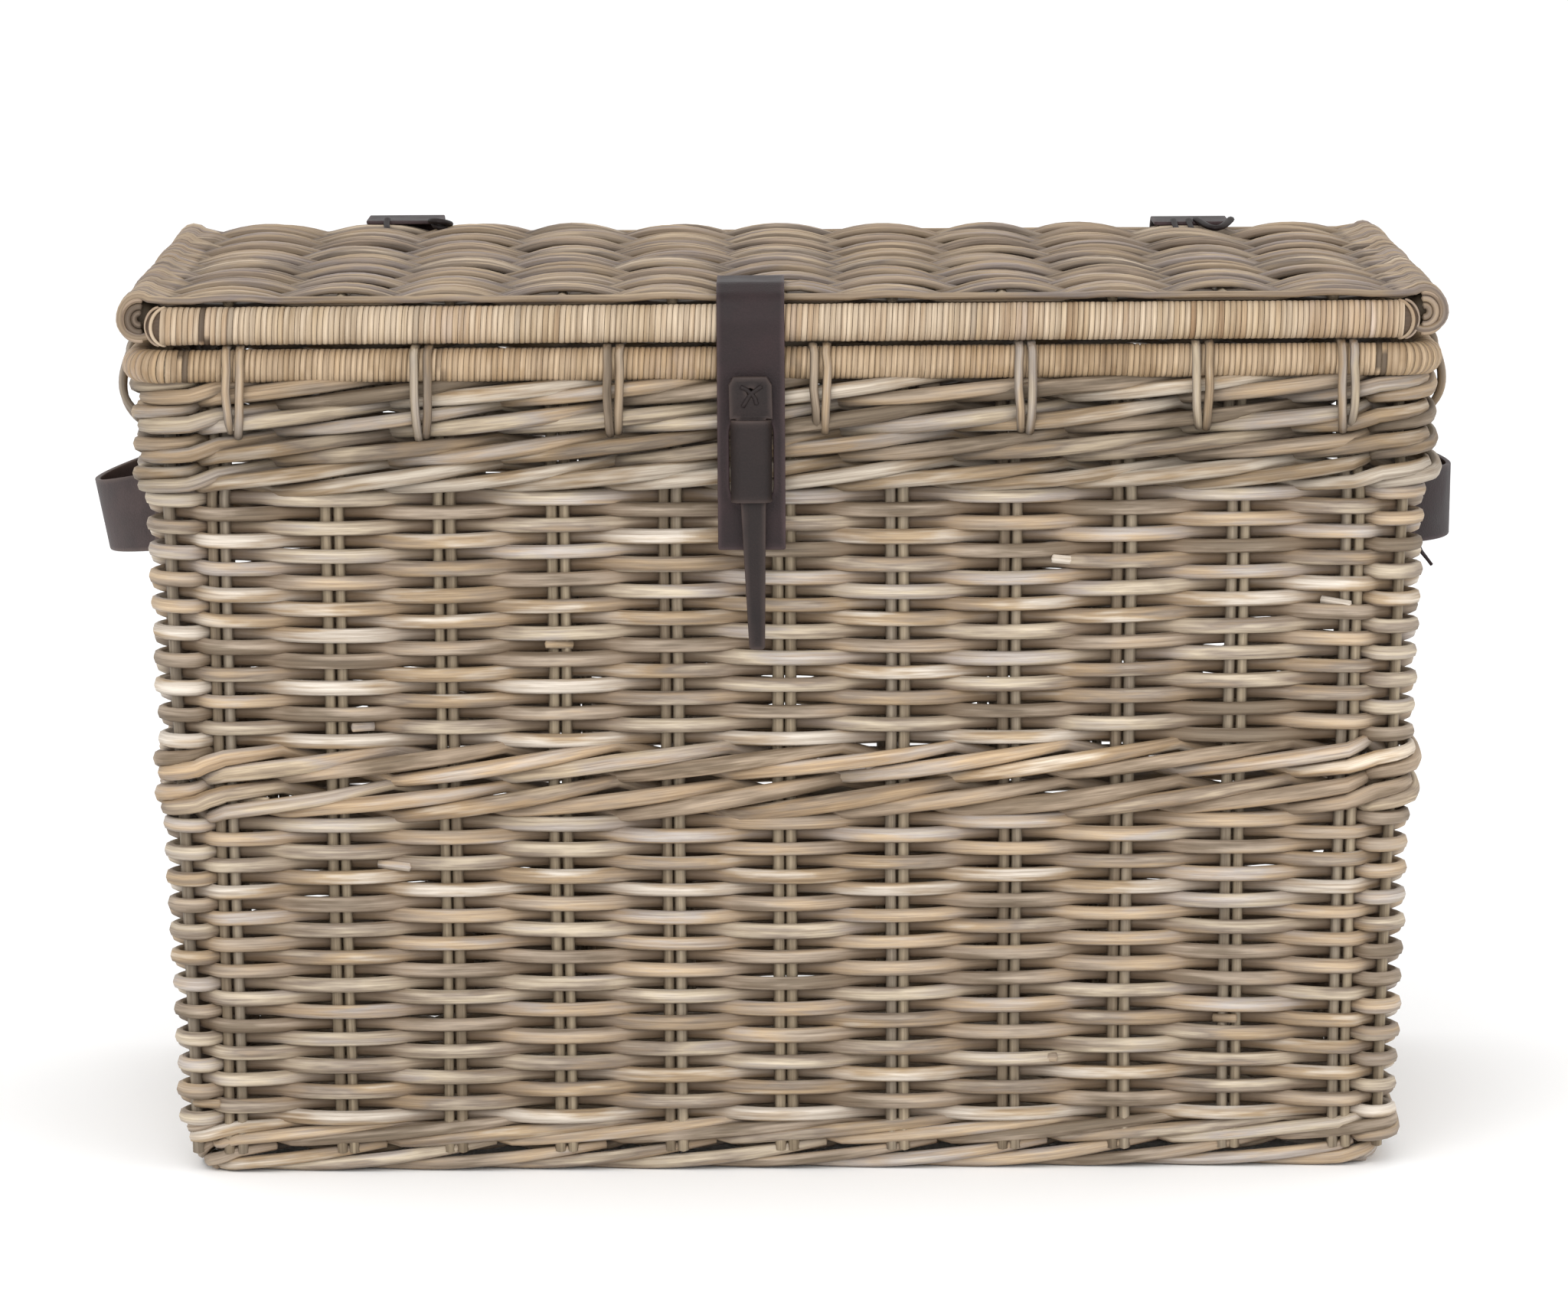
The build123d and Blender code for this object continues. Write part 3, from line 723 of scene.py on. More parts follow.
def wound_rim(rng, wrap_material, core_material):
    """The rim: one pole bent round the top of the wall, wound with strip all the way."""
    low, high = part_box("rim_pole_front")
    front = box_middle("rim_pole_front")
    radius = (high[2] - low[2]) / 2 * RIM_FULLER
    half_x = box_middle("rim_pole_right")[0] + RIM_WIDER
    loop, out = rounded_loop(half_x, -front[1], RIM_BEND, front[2] - RIM_DROP)
    around = np.vstack([loop, loop[:1]])
    outs = np.vstack([out, out[:1]])
    distance = np.concatenate([[0], np.cumsum(np.linalg.norm(np.diff(around, axis=0), axis=1))])
    turns = round(distance[-1] / WRAP_PITCH)
    angle = np.linspace(0, 2 * np.pi * turns, turns * WRAP_SAMPLES, endpoint=False)
    travel = angle / (2 * np.pi) * distance[-1] / turns
    centre = np.stack([np.interp(travel, distance, values) for values in around.T], axis=1)
    outward = unit(np.stack([np.interp(travel, distance, values) for values in outs.T], axis=1))
    radial = np.cos(angle)[:, None] * outward + np.sin(angle)[:, None] * UP
    wobble = wander(rng, "wrap", len(angle))
    path = centre + radial * (radius - WRAP_HALF_THICKNESS + wobble)[:, None]
    spacing = np.linalg.norm(np.roll(path, -WRAP_SAMPLES, axis=0) - path, axis=1)
    half_side = WRAP_HALF_WIDTH * np.clip(spacing, 0.6 * WRAP_PITCH, 1.9 * WRAP_PITCH)
    tint, shade = turn_tones(rng, angle)
    at_seam = np.abs(np.abs(centre[:, 0]) - half_x + RIM_SEAM_FROM_END) < WRAP_PITCH * 0.6
    shade[at_seam] = 0.1
    rods = Rods()
    rods.add(path, radial, WRAP_HALF_THICKNESS, half_side, tint, shade, sides=CANE_SIDES, closed=True,
             groove_shade=WRAP_GROOVE_SHADE)
    wrap = rods.build("rim_wrap", wrap_material)
    core = Rods()
    core_radius = radius - POLE_UNDER_WRAP
    # painted shade: the pole under the wrap is darkened towards the shade colour
    core.add(loop, out, core_radius, core_radius, 0.3, 0.6, sides=12, closed=True)
    return wrap, core.build("rim_pole", core_material)


def rounded_loop(half_x, half_y, bend, z):
    """Points and outward directions round a rectangle with bent corners."""
    points, outs = [], []
    corners = [(half_x - bend, half_y - bend, 0), (bend - half_x, half_y - bend, 90),
               (bend - half_x, bend - half_y, 180), (half_x - bend, bend - half_y, 270)]
    for x, y, start in corners:
        for angle in np.radians(np.linspace(start, start + 90, 10)):
            away = np.array([math.cos(angle), math.sin(angle), 0.0])
            points.append(np.array([x, y, z]) + away * bend)
            outs.append(away)
    return np.array(points), np.array(outs)


def rim_lashings(side, places, rng, material):
    """Pairs of rods from the top of the rim down into the wale."""
    foot_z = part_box(f"rim_lashings_{side}")[0][2]
    pole_low, pole_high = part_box(f"rim_pole_{side}")
    radius = (pole_high[2] - pole_low[2]) / 2
    at_end = side in ("left", "right")
    along = np.eye(3)[1 if at_end else 0]
    away = np.eye(3)[0 if at_end else 1] * (1 if side in ("right", "back") else -1)
    pole = box_middle(f"rim_pole_{side}") - UP * (RIM_DROP - LASHING_DROP)
    pole += away * (RIM_WIDER - LASHING_INWARD if at_end else 0)
    bend = np.linspace(math.radians(160), 0, 20)[:, None]
    drop = np.linspace(0, 1, 14)[1:, None]
    on_rim = np.interp(bend[:, 0], np.radians([35, 65]), [LASHING_HALF_WIDTH * 0.9, 0.5 * MM])
    thickness = np.concatenate([on_rim, np.full(len(drop), LASHING_HALF_WIDTH * 0.9)])
    # painted shade: a lashing darkens towards its lower end, where it goes into the wale
    shade = np.concatenate([np.ones(len(bend)), 1 - 0.7 * drop[:, 0] ** 5])
    rods = Rods()
    for place in places:
        tone = rng.random()
        for sign in (-1, 1):
            middle = pole * (1 - along) + along * (place + sign * LASHING_HALF_GAP)
            over = middle + (np.cos(bend) * away + np.sin(bend) * UP) * (radius + 0.8 * on_rim[:, None])
            length = over[-1][2] - foot_z + rng.uniform(-3, 3) * MM
            down = over[-1] - UP * length * drop
            down += away * (LASHING_BOWS[side] * np.sin(np.pi * drop) - LASHING_TUCK * drop ** 6)
            down -= along * sign * LASHING_HALF_GAP * LASHING_CLOSES * drop ** 3
            path = np.concatenate([over, down])
            path += along * wander(rng, "lashing", len(path))[:, None]
            out = unit(path - middle + away * 5 * radius)
            tint = np.clip(tone * 0.6 + rng.random() * 0.3, 0, 1)
            rods.add(path, out, thickness, LASHING_HALF_WIDTH, tint, shade, groove_shade=0.6)
    return rods.build(f"rim_lashings_{side}", material)


def lashing_places(side):
    """The middles of the pairs, read from the CAD node's upright rods."""
    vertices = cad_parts[f"rim_lashings_{side}"].data.vertices
    axis = 0 if side in ("front", "back") else 1
    places = sorted({round(vertex.co[axis], 4) for vertex in vertices})
    groups = [[places[0]]]
    for place in places[1:]:
        if place - groups[-1][-1] > LASHINGS_APART:
            groups.append([])
        groups[-1].append(place)
    return [(group[0] + group[-1]) / 2 for group in groups]


# ---------------------------------------------------------------- lid

def rib_places():
    low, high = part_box("lid_ribs")
    reach = (high[0] - low[0]) / 2 - STAKE_RADIUS
    return np.linspace(-reach, reach, LID_RIBS)


def lid_canes(rng, material):
    """Canes that run across the lid in bundles, over one rib and under the next, then round the sides."""
    panel_low, panel_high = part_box("lid_weave")
    bar_low, bar_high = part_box("lid_bar_front")
    ribs = rib_places()
    pitch = ribs[1] - ribs[0]
    bar_radius = (bar_high[2] - bar_low[2]) / 2
    bar_y = -(bar_low[1] + bar_high[1]) / 2
    bar_z = (bar_high[2] + bar_low[2]) / 2
    reach_y = bar_y + 1 * MM
    bundles = round(2 * reach_y / (CANES_IN_BUNDLE * CANE_PITCH))
    cane_pitch = 2 * reach_y / (bundles * CANES_IN_BUNDLE)
    middle_z = (panel_low[2] + panel_high[2]) / 2
    over_rib = panel_high[2] - CANE_HALF_THICKNESS + CANE_OVER_RIB - middle_z
    half_x = panel_high[0] - 6 * MM
    x = np.linspace(-half_x, half_x, round(2 * half_x / pitch * 9))
    rods = Rods()
    for bundle in range(bundles):
        bundle_tint = rng.random()
        bundle_wander = wander(rng, "bundle", len(x))
        from_edge = min(bundle, bundles - 1 - bundle, 3) / 3
        phase = np.pi * ((x - ribs[0]) / pitch + bundle) + wander(rng, "bundle_phase", len(x))
        swing = flattened(np.cos(phase), 0.8)
        for member in range(CANES_IN_BUNDLE):
            y = -reach_y + (bundle * CANES_IN_BUNDLE + member + 0.5) * cane_pitch
            flat_edge = FLAT_AT_EDGE if abs(y) > bar_y - 4 * MM else 1.0
            height = middle_z + swing * np.where(swing > 0, over_rib, CANE_UNDER_RIB) * flat_edge
            height += rng.uniform(-0.4, 0.2) * MM + wander(rng, "cane_height", len(x))
            past_bar = abs(abs(y) - bar_y) / bar_radius
            on_bar = bar_z + bar_radius * math.sqrt(max(1 - past_bar ** 2, 0)) + CANE_HALF_THICKNESS
            height = np.maximum(height, on_bar) if past_bar < 1 else height
            height = np.minimum(height, under_straps(x, y)) + lid_rise(x, y)
            spread = (member - (CANES_IN_BUNDLE - 1) / 2) / CANES_IN_BUNDLE
            shift = spread * BUNDLE_SPREAD * swing + wander(rng, "cane_place", len(x))
            path = columns(x, y + shift + bundle_wander * from_edge, height)
            left, left_out = round_the_side(path[0], "left", rng)
            right, right_out = round_the_side(path[-1], "right", rng)
            whole = np.concatenate([left[::-1], path, right])
            outs = np.concatenate([left_out[::-1], np.tile(UP, (len(x), 1)), right_out])
            size = rng.uniform(0.86, 1.08) * (1 + wander(rng, "cane_size", len(whole)))
            tint = np.clip(bundle_tint * 0.35 + rng.random() * 0.65, 0, 1)
            # painted shade: a cane darkens where it goes under a rib, less over the front and back bars,
            # and a little on the side rolls
            crown = np.clip(0.5 + 0.5 * swing, 0.8 if past_bar < 1 else 0, 1)
            crown = np.pad(crown, (len(left), len(right)), constant_values=0.9)
            rods.add(whole, outs, CANE_HALF_THICKNESS * size, CANE_HALF_WIDTH * size, tint, crown,
                     sides=CANE_SIDES, groove_shade=0.7)
    return rods.build("lid_weave", material)


def lid_rise(x, y):
    """How far the lid's weave is warped up towards the back, most of all at the left."""
    low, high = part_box("lid_weave")
    back = np.interp(y, [low[1], 0, high[1] - 35 * MM, high[1] + 8 * MM], [0, 0.55, 1, 0.1])
    left = np.clip((high[0] - x) / (high[0] - low[0]), 0, 1)
    return LID_WARP * back * (0.2 + 0.8 * left)


def under_straps(x, y):
    """The highest that a cane's middle may be, which is lower where leather lies on the lid."""
    panel_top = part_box("lid_weave")[1][2]
    limit = np.full(len(x), panel_top + 2 * MM)
    for name in ("strap_anchor", "hinge_lid_half_left", "hinge_lid_half_right"):
        low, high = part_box(name)
        if low[1] - 4 * MM < y < high[1] + 4 * MM:
            limit[(x > low[0] - 3 * MM) & (x < high[0] + 3 * MM)] = panel_top - CANE_HALF_THICKNESS
    return limit


def round_the_side(last, side, rng):
    """A cane's course from the panel's edge up over the side pole, down round it and back under."""
    low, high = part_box(f"lid_roll_{side}")
    sign = -1 if side == "left" else 1
    x_middle = (low[0] + high[0]) / 2 - sign * POLE_INWARD
    z_middle = (low[2] + high[2]) / 2
    half = (high[0] - low[0]) / 2 - CANE_HALF_THICKNESS
    angle = np.linspace(*np.radians(ROLL_TURN), 17)
    above = half + ROLL_CROWN + lid_rise(x_middle, last[1])
    tall = np.where(angle > 0, above, half - 0.4 * MM) + rng.uniform(-0.6, 0.6) * MM
    wide = half + (rng.uniform(-0.8, 0.4) + 1.2 * math.sin(last[1] / ROLL_RIPPLE)) * MM
    y = last[1] + wander(rng, "cane_on_roll", len(angle))
    points = columns(x_middle + sign * wide * np.cos(angle), y, z_middle + tall * np.sin(angle))
    bridge = last + (points[0] - last) * np.linspace(0, 1, 4)[1:-1, None]
    out = columns(sign * np.cos(angle), 0, np.sin(angle))
    return np.concatenate([bridge, points]), np.concatenate([np.tile(UP, (len(bridge), 1)), out])


def corner_coils(rng, material):
    """The canes' ends, coiled inside each end of the side rolls, beside the bars' ends."""
    rods = Rods()
    turn = np.radians(np.linspace(100, -100, 20))
    for side, sign in (("left", -1), ("right", 1)):
        low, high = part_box(f"lid_roll_{side}")
        x, _, z = box_middle(f"lid_roll_{side}")
        half = (high[0] - low[0]) / 2
        for y_sign in (-1, 1):
            for layer, reach in enumerate(COIL_REACHES):
                y = y_sign * (high[1] + COIL_BEYOND_ROLL - layer * COIL_STEP)
                across = reach * half * np.cos(turn) - POLE_INWARD
                path = columns(x + sign * across, y, z + reach * half * 1.1 * np.sin(turn))
                # painted shade: each inner coil is darker than the one outside it
                rods.add(path, (0, y_sign, 0), *SECTIONS["coil"], rng.random(), 0.9 - 0.2 * layer)
    return rods.build("lid_roll_coils", material)


def lid_ribs(rng, material):
    low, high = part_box("lid_ribs")
    y = np.linspace(low[1], high[1], 24)
    rods = Rods()
    for x in rib_places():
        path = columns(x + wander(rng, "rib", len(y)), y, (low[2] + high[2]) / 2)
        # painted shade on the ribs under the canes
        rods.add(path, UP, STAKE_RADIUS, STAKE_RADIUS, rng.random(), 0.7)
    return rods.build("lid_ribs", material)


def side_pole(name, material):
    """The plain pole that the lid's canes go round."""
    low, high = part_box(name)
    x, _, z = box_middle(name)
    radius = (high[2] - low[2]) / 2 - SIDE_POLE_SLIMMER
    y = np.linspace(low[1] + 3 * MM, high[1] - 3 * MM, 20)
    rods = Rods()
    # painted shade: the pole inside the roll is nearly fully shaded
    rods.add(columns(x - math.copysign(POLE_INWARD, x), y, z), UP, radius, radius, 0.4, 0.1, sides=12)
    return rods.build(name, material)


# ---------------------------------------------------------------- base

def base_mat(rng, material):
    """The bottom, woven over sticks that run from front to back."""
    low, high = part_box("base_mat")
    stick_low, stick_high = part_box("base_sticks")
    reach = (stick_high[0] - stick_low[0]) / 2 - STAKE_RADIUS
    sticks = np.linspace(-reach, reach, BASE_STICKS)
    pitch = sticks[1] - sticks[0]
    middle = (low[2] + high[2]) / 2
    rows = round((high[1] - low[1]) / WEAVER_PITCH)
    x = np.linspace(low[0], high[0], round((high[0] - low[0]) / pitch * 8))
    rods = Rods()
    for row in range(rows):
        y = low[1] + (row + 0.5) * (high[1] - low[1]) / rows
        swing = flattened(np.cos(np.pi * ((x - sticks[0]) / pitch + row)), 0.5)
        path = columns(x, y + wander(rng, "base_weaver", len(x)), middle + swing * BASE_SWING)
        size = rng.uniform(0.92, 1.06)
        # painted shade, evenly over the base's weavers
        rods.add(path, UP, 2.9 * MM * size, 4.3 * MM * size, rng.random(), 0.6, sides=CANE_SIDES)
    y = np.linspace(stick_low[1], stick_high[1], 12)
    for stick in sticks:
        # painted shade, evenly over the base sticks
        rods.add(columns(stick, y, middle), UP, *SECTIONS["base_stick"], rng.random(), 0.6)
    return rods.build("base_mat", material)


# ---------------------------------------------------------------- leather

def leather_sheet(name, outline, holes, thickness, bend_to, material, step=2.5 * MM):
    """A flat cut of leather with rolled edges, bent to its place.
    outline and holes are loops of (across, along); bend_to maps across, along and height to space."""
    curve = bpy.data.curves.new(name, "CURVE")
    curve.dimensions = "2D"
    curve.fill_mode = "BOTH"
    curve.extrude = thickness / 2 - LEATHER_ROLL
    curve.bevel_depth = LEATHER_ROLL
    curve.bevel_resolution = 3
    curve.offset = -LEATHER_ROLL
    for loop in [outline, *holes]:
        spline = curve.splines.new("POLY")
        spline.points.add(len(loop) - 1)
        for point, (across, along) in zip(spline.points, loop):
            point.co = (across, along, 0, 1)
        spline.use_cyclic_u = True
    source = bpy.data.objects.new(name, curve)
    mesh = bpy.data.meshes.new_from_object(source)
    bpy.data.objects.remove(source)
    cut = bmesh.new()
    cut.from_mesh(mesh)
    bmesh.ops.remove_doubles(cut, verts=cut.verts, dist=1e-6)
    for axis, normal in enumerate(((1, 0, 0), (0, 1, 0))):
        values = [vertex.co[axis] for vertex in cut.verts]
        for level in np.arange(min(values) + step, max(values) - step / 2, step):
            everything = cut.verts[:] + cut.edges[:] + cut.faces[:]
            place = tuple(level * n for n in normal)
            bmesh.ops.bisect_plane(cut, geom=everything, plane_co=place, plane_no=normal)
    bmesh.ops.triangulate(cut, faces=[face for face in cut.faces if len(face.verts) > 4])
    edge_wear = edge_nearness(cut, [outline, *holes])
    across, along, height = np.array([vertex.co for vertex in cut.verts]).T
    cut.to_mesh(mesh)
    cut.free()
    mesh.vertices.foreach_set("co", bend_to(across, along, height).astype(np.float32).ravel())
    mesh.polygons.foreach_set("use_smooth", np.ones(len(mesh.polygons), bool))
    add_attribute(mesh, "edge", "FLOAT", edge_wear)
    mesh.update()
    return add_object(name, mesh, material)


def edge_nearness(cut, loops):
    """1 on the cut edges of a leather sheet, falling to 0 a few millimetres in."""
    a = np.concatenate([np.array(loop) for loop in loops])
    b = np.concatenate([np.roll(np.array(loop), -1, axis=0) for loop in loops])
    points = np.array([vertex.co[:2] for vertex in cut.verts])
    run = b - a
    share = np.einsum("pij,ij->pi", points[:, None] - a, run) / np.maximum((run ** 2).sum(1), 1e-12)
    nearest = a + np.clip(share, 0, 1)[..., None] * run
    distance = np.linalg.norm(points[:, None] - nearest, axis=2).min(axis=1)
    return np.clip(1 - distance / EDGE_WEAR, 0, 1)


def rounded_box(left, bottom, right, top, radius, steps=5):
    corners = [(right - radius, top - radius, 0), (left + radius, top - radius, 90),
               (left + radius, bottom + radius, 180), (right - radius, bottom + radius, 270)]
    return [
        (x + radius * math.cos(angle), y + radius * math.sin(angle))
        for x, y, start in corners
        for angle in np.radians(np.linspace(start, start + 90, steps))
    ]


def circle(x, y, radius, steps=12):
    turn = np.linspace(0, 2 * np.pi, steps, endpoint=False)
    return [(x + radius * math.cos(angle), y + radius * math.sin(angle)) for angle in turn]


def course(corners, radii):
    """Distances and points along a path in a plane, with its corners rounded."""
    points = [np.array(corners[0], float)]
    for before, corner, after, radius in zip(corners, corners[1:], corners[2:], radii):
        before, corner, after = (np.array(p, float) for p in (before, corner, after))
        into, away = unit(corner - before), unit(after - corner)
        turn = math.acos(np.clip(into @ away, -1, 1))
        reach = radius * math.tan(turn / 2)
        start, end = corner - into * reach, corner + away * reach
        for t in np.linspace(0, 1, 9):
            points.append((1 - t) ** 2 * start + 2 * t * (1 - t) * corner + t * t * end)
    points.append(np.array(corners[-1], float))
    points = np.array(points)
    distance = np.concatenate([[0], np.cumsum(np.linalg.norm(np.diff(points, axis=0), axis=1))])
    return distance, points


def along_course(path, along, height):
    """Points at distances along a course, and height to the left of it."""
    distance, points = path
    step = 0.5 * MM

    def at(place):
        return np.stack([np.interp(place, distance, values) for values in points.T], axis=1)

    heading = unit(at(along + step) - at(along - step))
    left = np.stack([-heading[:, 1], heading[:, 0]], axis=1)
    return (at(along) + left * height[:, None]).T


def over_the_edge(x_middle, on_lid, edge, top, bottom, reach, shoulder):
    """The length of a strap that lies on the lid from Y on_lid, bends over its edge and hangs down
    at Y edge, and the mapping that bends it. reach and shoulder point from the edge to the lid."""
    corners = [(on_lid, top), (edge + reach, top), (edge + shoulder, top - EDGE_DROP),
               (edge, top - abs(reach)), (edge, bottom)]
    path = course(corners, STRAP_BENDS)
    lift_sign = math.copysign(1, reach)

    def bend_to(across, along, height):
        y, z = along_course(path, along, lift_sign * height)
        return columns(x_middle + across, y, z)

    return path[0][-1], bend_to


def clasp_strap(material):
    """The strap that starts on the lid, bends over the front bar and hangs down to its slot."""
    flap_low, flap_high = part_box("strap_flap")
    anchor_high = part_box("strap_anchor")[1]
    loop_low, loop_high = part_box("keeper_loop")
    x_middle = box_middle("strap_flap")[0]
    half = (flap_high[0] - flap_low[0]) / 2
    front = flap_low[1] + LEATHER / 2
    top = anchor_high[2] - LEATHER / 2
    length, bend_to = over_the_edge(x_middle, anchor_high[1], front, top, flap_low[2],
                                    STRAP_REACH, STRAP_SHOULDER)
    slot_bottom = length - (loop_high[2] + SLOT_MARGIN - flap_low[2])
    slot_top = length - (loop_low[2] - SLOT_MARGIN - flap_low[2])
    slot_half = (loop_high[0] - loop_low[0]) / 2 + SLOT_SIDE_MARGIN
    slot = rounded_box(-slot_half, slot_bottom, slot_half, slot_top, SLOT_ROUNDING)
    outline = rounded_box(-half, 0, half, length, STRAP_ROUNDING)
    strap = leather_sheet("clasp_strap", outline, [slot], LEATHER, bend_to, material)
    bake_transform(strap)
    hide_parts("strap_flap", "strap_anchor")


def keeper_loop(material):
    """The band that stands out from the wale through the strap's slot."""
    low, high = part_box("keeper_loop")
    half = (high[0] - low[0]) / 2 - LEATHER / 2
    x_middle = (low[0] + high[0]) / 2
    front = low[1] + LEATHER / 2
    root = high[1] + 2 * MM
    path = course([(-half, root), (-half, front), (half, front), (half, root)], LOOP_BENDS)

    def bend_to(across, along, height):
        x, y = along_course(path, along, height)
        return columns(x_middle + x, y, across)

    outline = rounded_box(low[2], 0, high[2], path[0][-1], LOOP_ROUNDING)
    piece = leather_sheet("keeper_loop", outline, [], LEATHER, bend_to, material)
    place_piece(piece, "basket", ["keeper_loop"])


def peg(material):
    """The tapering leather tongue that locks the loop, with a lace tied through its head."""
    low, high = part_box("peg")
    x_middle, y_middle, _ = box_middle("peg")
    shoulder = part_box("keeper_loop")[1][2] + 0.4 * MM
    head = (high[0] - low[0]) / 2
    tip_half, tip_height = PEG_TIP_SHOULDER
    right_side = [(PEG_TIP_HALF, low[2]), (tip_half, low[2] + tip_height), (PEG_HALF_AT_LOOP, shoulder),
                  (head, shoulder), (head, high[2] - 5 * MM), (head - 3 * MM, high[2])]
    outline = [(-x, z) for x, z in reversed(right_side)] + right_side
    hole_z = high[2] - PEG_HOLE_BELOW_TOP

    def stand(across, along, height):
        leaned = x_middle + across + PEG_LEAN * (shoulder - along)
        return columns(leaned, y_middle - height, along)

    thickness = high[1] - low[1] - 2 * MM
    piece = leather_sheet("peg", outline, [circle(0, hole_z, PEG_HOLE)], thickness, stand, material)
    place_piece(piece, "peg", ["peg"])
    rods = Rods()
    for lace in PEG_LACES:
        share = np.linspace(0, len(lace) - 1, 12)
        x, z = (np.interp(share, np.arange(len(lace)), values) for values in np.array(lace).T * MM)
        path = columns(x_middle + x, low[1] + 0.6 * MM, hole_z + z)
        rods.add(path, (0, -1.0, 0), *SECTIONS["peg_tie"])
    place_piece(rods.build("peg_tie", material), "peg", ["peg_tie"])


def handle_root(side):
    """How far from the trunk's middle the handle's flat ends lie."""
    low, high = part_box(f"handle_tabs_{side}")
    return min(abs(low[0]), abs(high[0])) + LEATHER / 2 + HANDLE_LEAN_SHARE * HANDLES[side]["lean"]


def side_handle(side, material):
    """A band that bows out from the wale, with its flat ends laced to the wall."""
    shape = HANDLES[side]
    sign = shape["side"]
    band_low, band_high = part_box(f"handle_{side}")
    tabs_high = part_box(f"handle_tabs_{side}")[1]
    root = handle_root(side)
    crown = max(abs(band_low[0]), abs(band_high[0])) - LEATHER / 2 - CROWN_INWARD
    span = band_high[1]
    half = (band_high[2] - band_low[2]) / 2
    z_middle = (band_low[2] + band_high[2]) / 2
    length = 2 * tabs_high[1] + 1.5 * MM
    outline = rounded_box(-half, 0, half, length, HANDLE_ROUNDING)
    holes = [circle(across, along, HANDLE_HOLE)
             for along in (HANDLE_HOLE_FROM_END, length - HANDLE_HOLE_FROM_END)
             for across in (-HANDLE_HOLE_ACROSS, HANDLE_HOLE_ACROSS)]

    def bend_to(across, along, height):
        y = along - length / 2
        bow = np.clip(1 - (y / span) ** 2, 0, 1)
        tilt = shape["top_tilt"] * bow * across / half
        x = root + (crown - root) * bow ** 0.9 + tilt + height
        z = z_middle + HANDLE_LIFT - shape["sag"] * bow + across * (1 - HANDLE_NARROWS * bow)
        return columns(sign * x, y, z)

    piece = leather_sheet(f"handle_{side}", outline, holes, LEATHER, bend_to, material, step=3 * MM)
    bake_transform(piece)
    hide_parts(f"handle_{side}", f"handle_tabs_{side}")


def handle_lace(side, material):
    """The loose end of a lace that hangs below the front end of the right handle."""
    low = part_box(f"handle_{side}")[0]
    tabs_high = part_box(f"handle_tabs_{side}")[1]
    top = np.array([handle_root(side) + 4 * MM, -tabs_high[1] + 8 * MM, low[2] + 8 * MM])
    tail = smooth_path(top + np.array(LACE_TAIL) * MM, 4)
    lace = Rods()
    lace.add(tail, (1, -0.3, 0), 1.1 * MM, np.linspace(*LACE_TAIL_HALF_WIDTHS, len(tail)) * MM)
    place_extra(lace.build(f"handle_lace_{side}", material), "basket")


def hinge(side, material, lace_material):
    """A strap from the lid's top over the back edge and down the wale, laced on both."""
    lid_low, lid_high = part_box(f"hinge_lid_half_{side}")
    low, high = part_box(f"hinge_basket_half_{side}")
    x_middle, back, _ = box_middle(f"hinge_basket_half_{side}")
    half = (high[0] - low[0]) / 2
    thickness = high[1] - low[1]
    rise = lid_rise(x_middle, lid_low[1])
    top = lid_high[2] - thickness / 2 + rise
    length, bend_to = over_the_edge(x_middle, lid_low[1], back, top, low[2], HINGE_REACH, HINGE_SHOULDER)
    outline = rounded_box(-half, 0, half, length, HINGE_ROUNDING)
    piece = leather_sheet(f"hinge_{side}", outline, [], thickness, bend_to, material, step=3 * MM)
    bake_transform(piece)
    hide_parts(f"hinge_lid_half_{side}", f"hinge_basket_half_{side}")
    hinge_lacing(side, low, high, lace_material)
    hinge_lid_laces(side, np.array([x_middle, lid_low[1], lid_high[2] + rise]), lace_material)


def hinge_lacing(side, low, high, material):
    """Crossed laces on the basket half, each ending in small knots."""
    x_middle = (low[0] + high[0]) / 2
    spread = (high[0] - low[0]) / 2 - LACING_FROM_SIDE
    behind = np.array([0, 1.0, 0])
    ends = np.linspace(-1, 1, 10)
    y = high[1] + LACE_STANDS_OFF + LACING_BULGE * (1 - ends ** 2)
    z = low[2] + LACING_FROM_END + (ends + 1) / 2 * LACING_LENGTH
    rods = Rods()
    for sign in (-1, 1):
        path = columns(x_middle + sign * ends * spread, y, z)
        rods.add(path, behind, *SECTIONS["hinge_lace"])
        for place in (0, -1):
            add_knot(rods, path[place], KNOT_SIZE, behind)
    piece = rods.build(f"hinge_lace_{side}", material)
    place_piece(piece, "basket", [f"hinge_knots_{side}"])


def hinge_lid_laces(side, edge, material):
    """The laces that tie the lid half down in front of its edge: short legs that dive between the
    canes, and beside them a curled knot at the left hinge and a hanging loop at the right one."""
    rods = Rods()
    for across in LEGS_ACROSS[side]:
        leg = (np.array(LID_LEG) + (across, 0, 0)) * MM
        rods.add(smooth_path(edge + leg, 4), UP, *SECTIONS["lid_leg"])
    if side == "left":
        turn = np.linspace(0, 3.4 * np.pi, 40)
        reach = np.linspace(6.5, 3.0, 40)
        curl = columns(24 + reach * np.cos(turn), -4 - 2 * reach * np.sin(turn),
                       -2 + reach * 0.5 * np.sin(turn * 0.7)) * MM
    else:
        share = np.linspace(0, 1, 24)
        hang = np.sin(np.pi * share)
        curl = columns(3 + 23 * share, 4 - 26 * hang, 1 - 3.5 * hang) * MM
    rods.add(edge + curl, UP, *SECTIONS["lid_curl"])
    place_extra(rods.build(f"hinge_lid_lace_{side}", material), "lid")


def smooth_path(corners, steps):
    """A path through the corners with more points on it, and its bends eased."""
    share = np.linspace(0, len(corners) - 1, (len(corners) - 1) * steps + 1)
    path = np.stack([np.interp(share, np.arange(len(corners)), values) for values in corners.T], axis=1)
    padded = np.pad(path, ((1, 1), (0, 0)), "edge")
    return (padded[:-2] + 2 * padded[1:-1] + padded[2:]) / 4


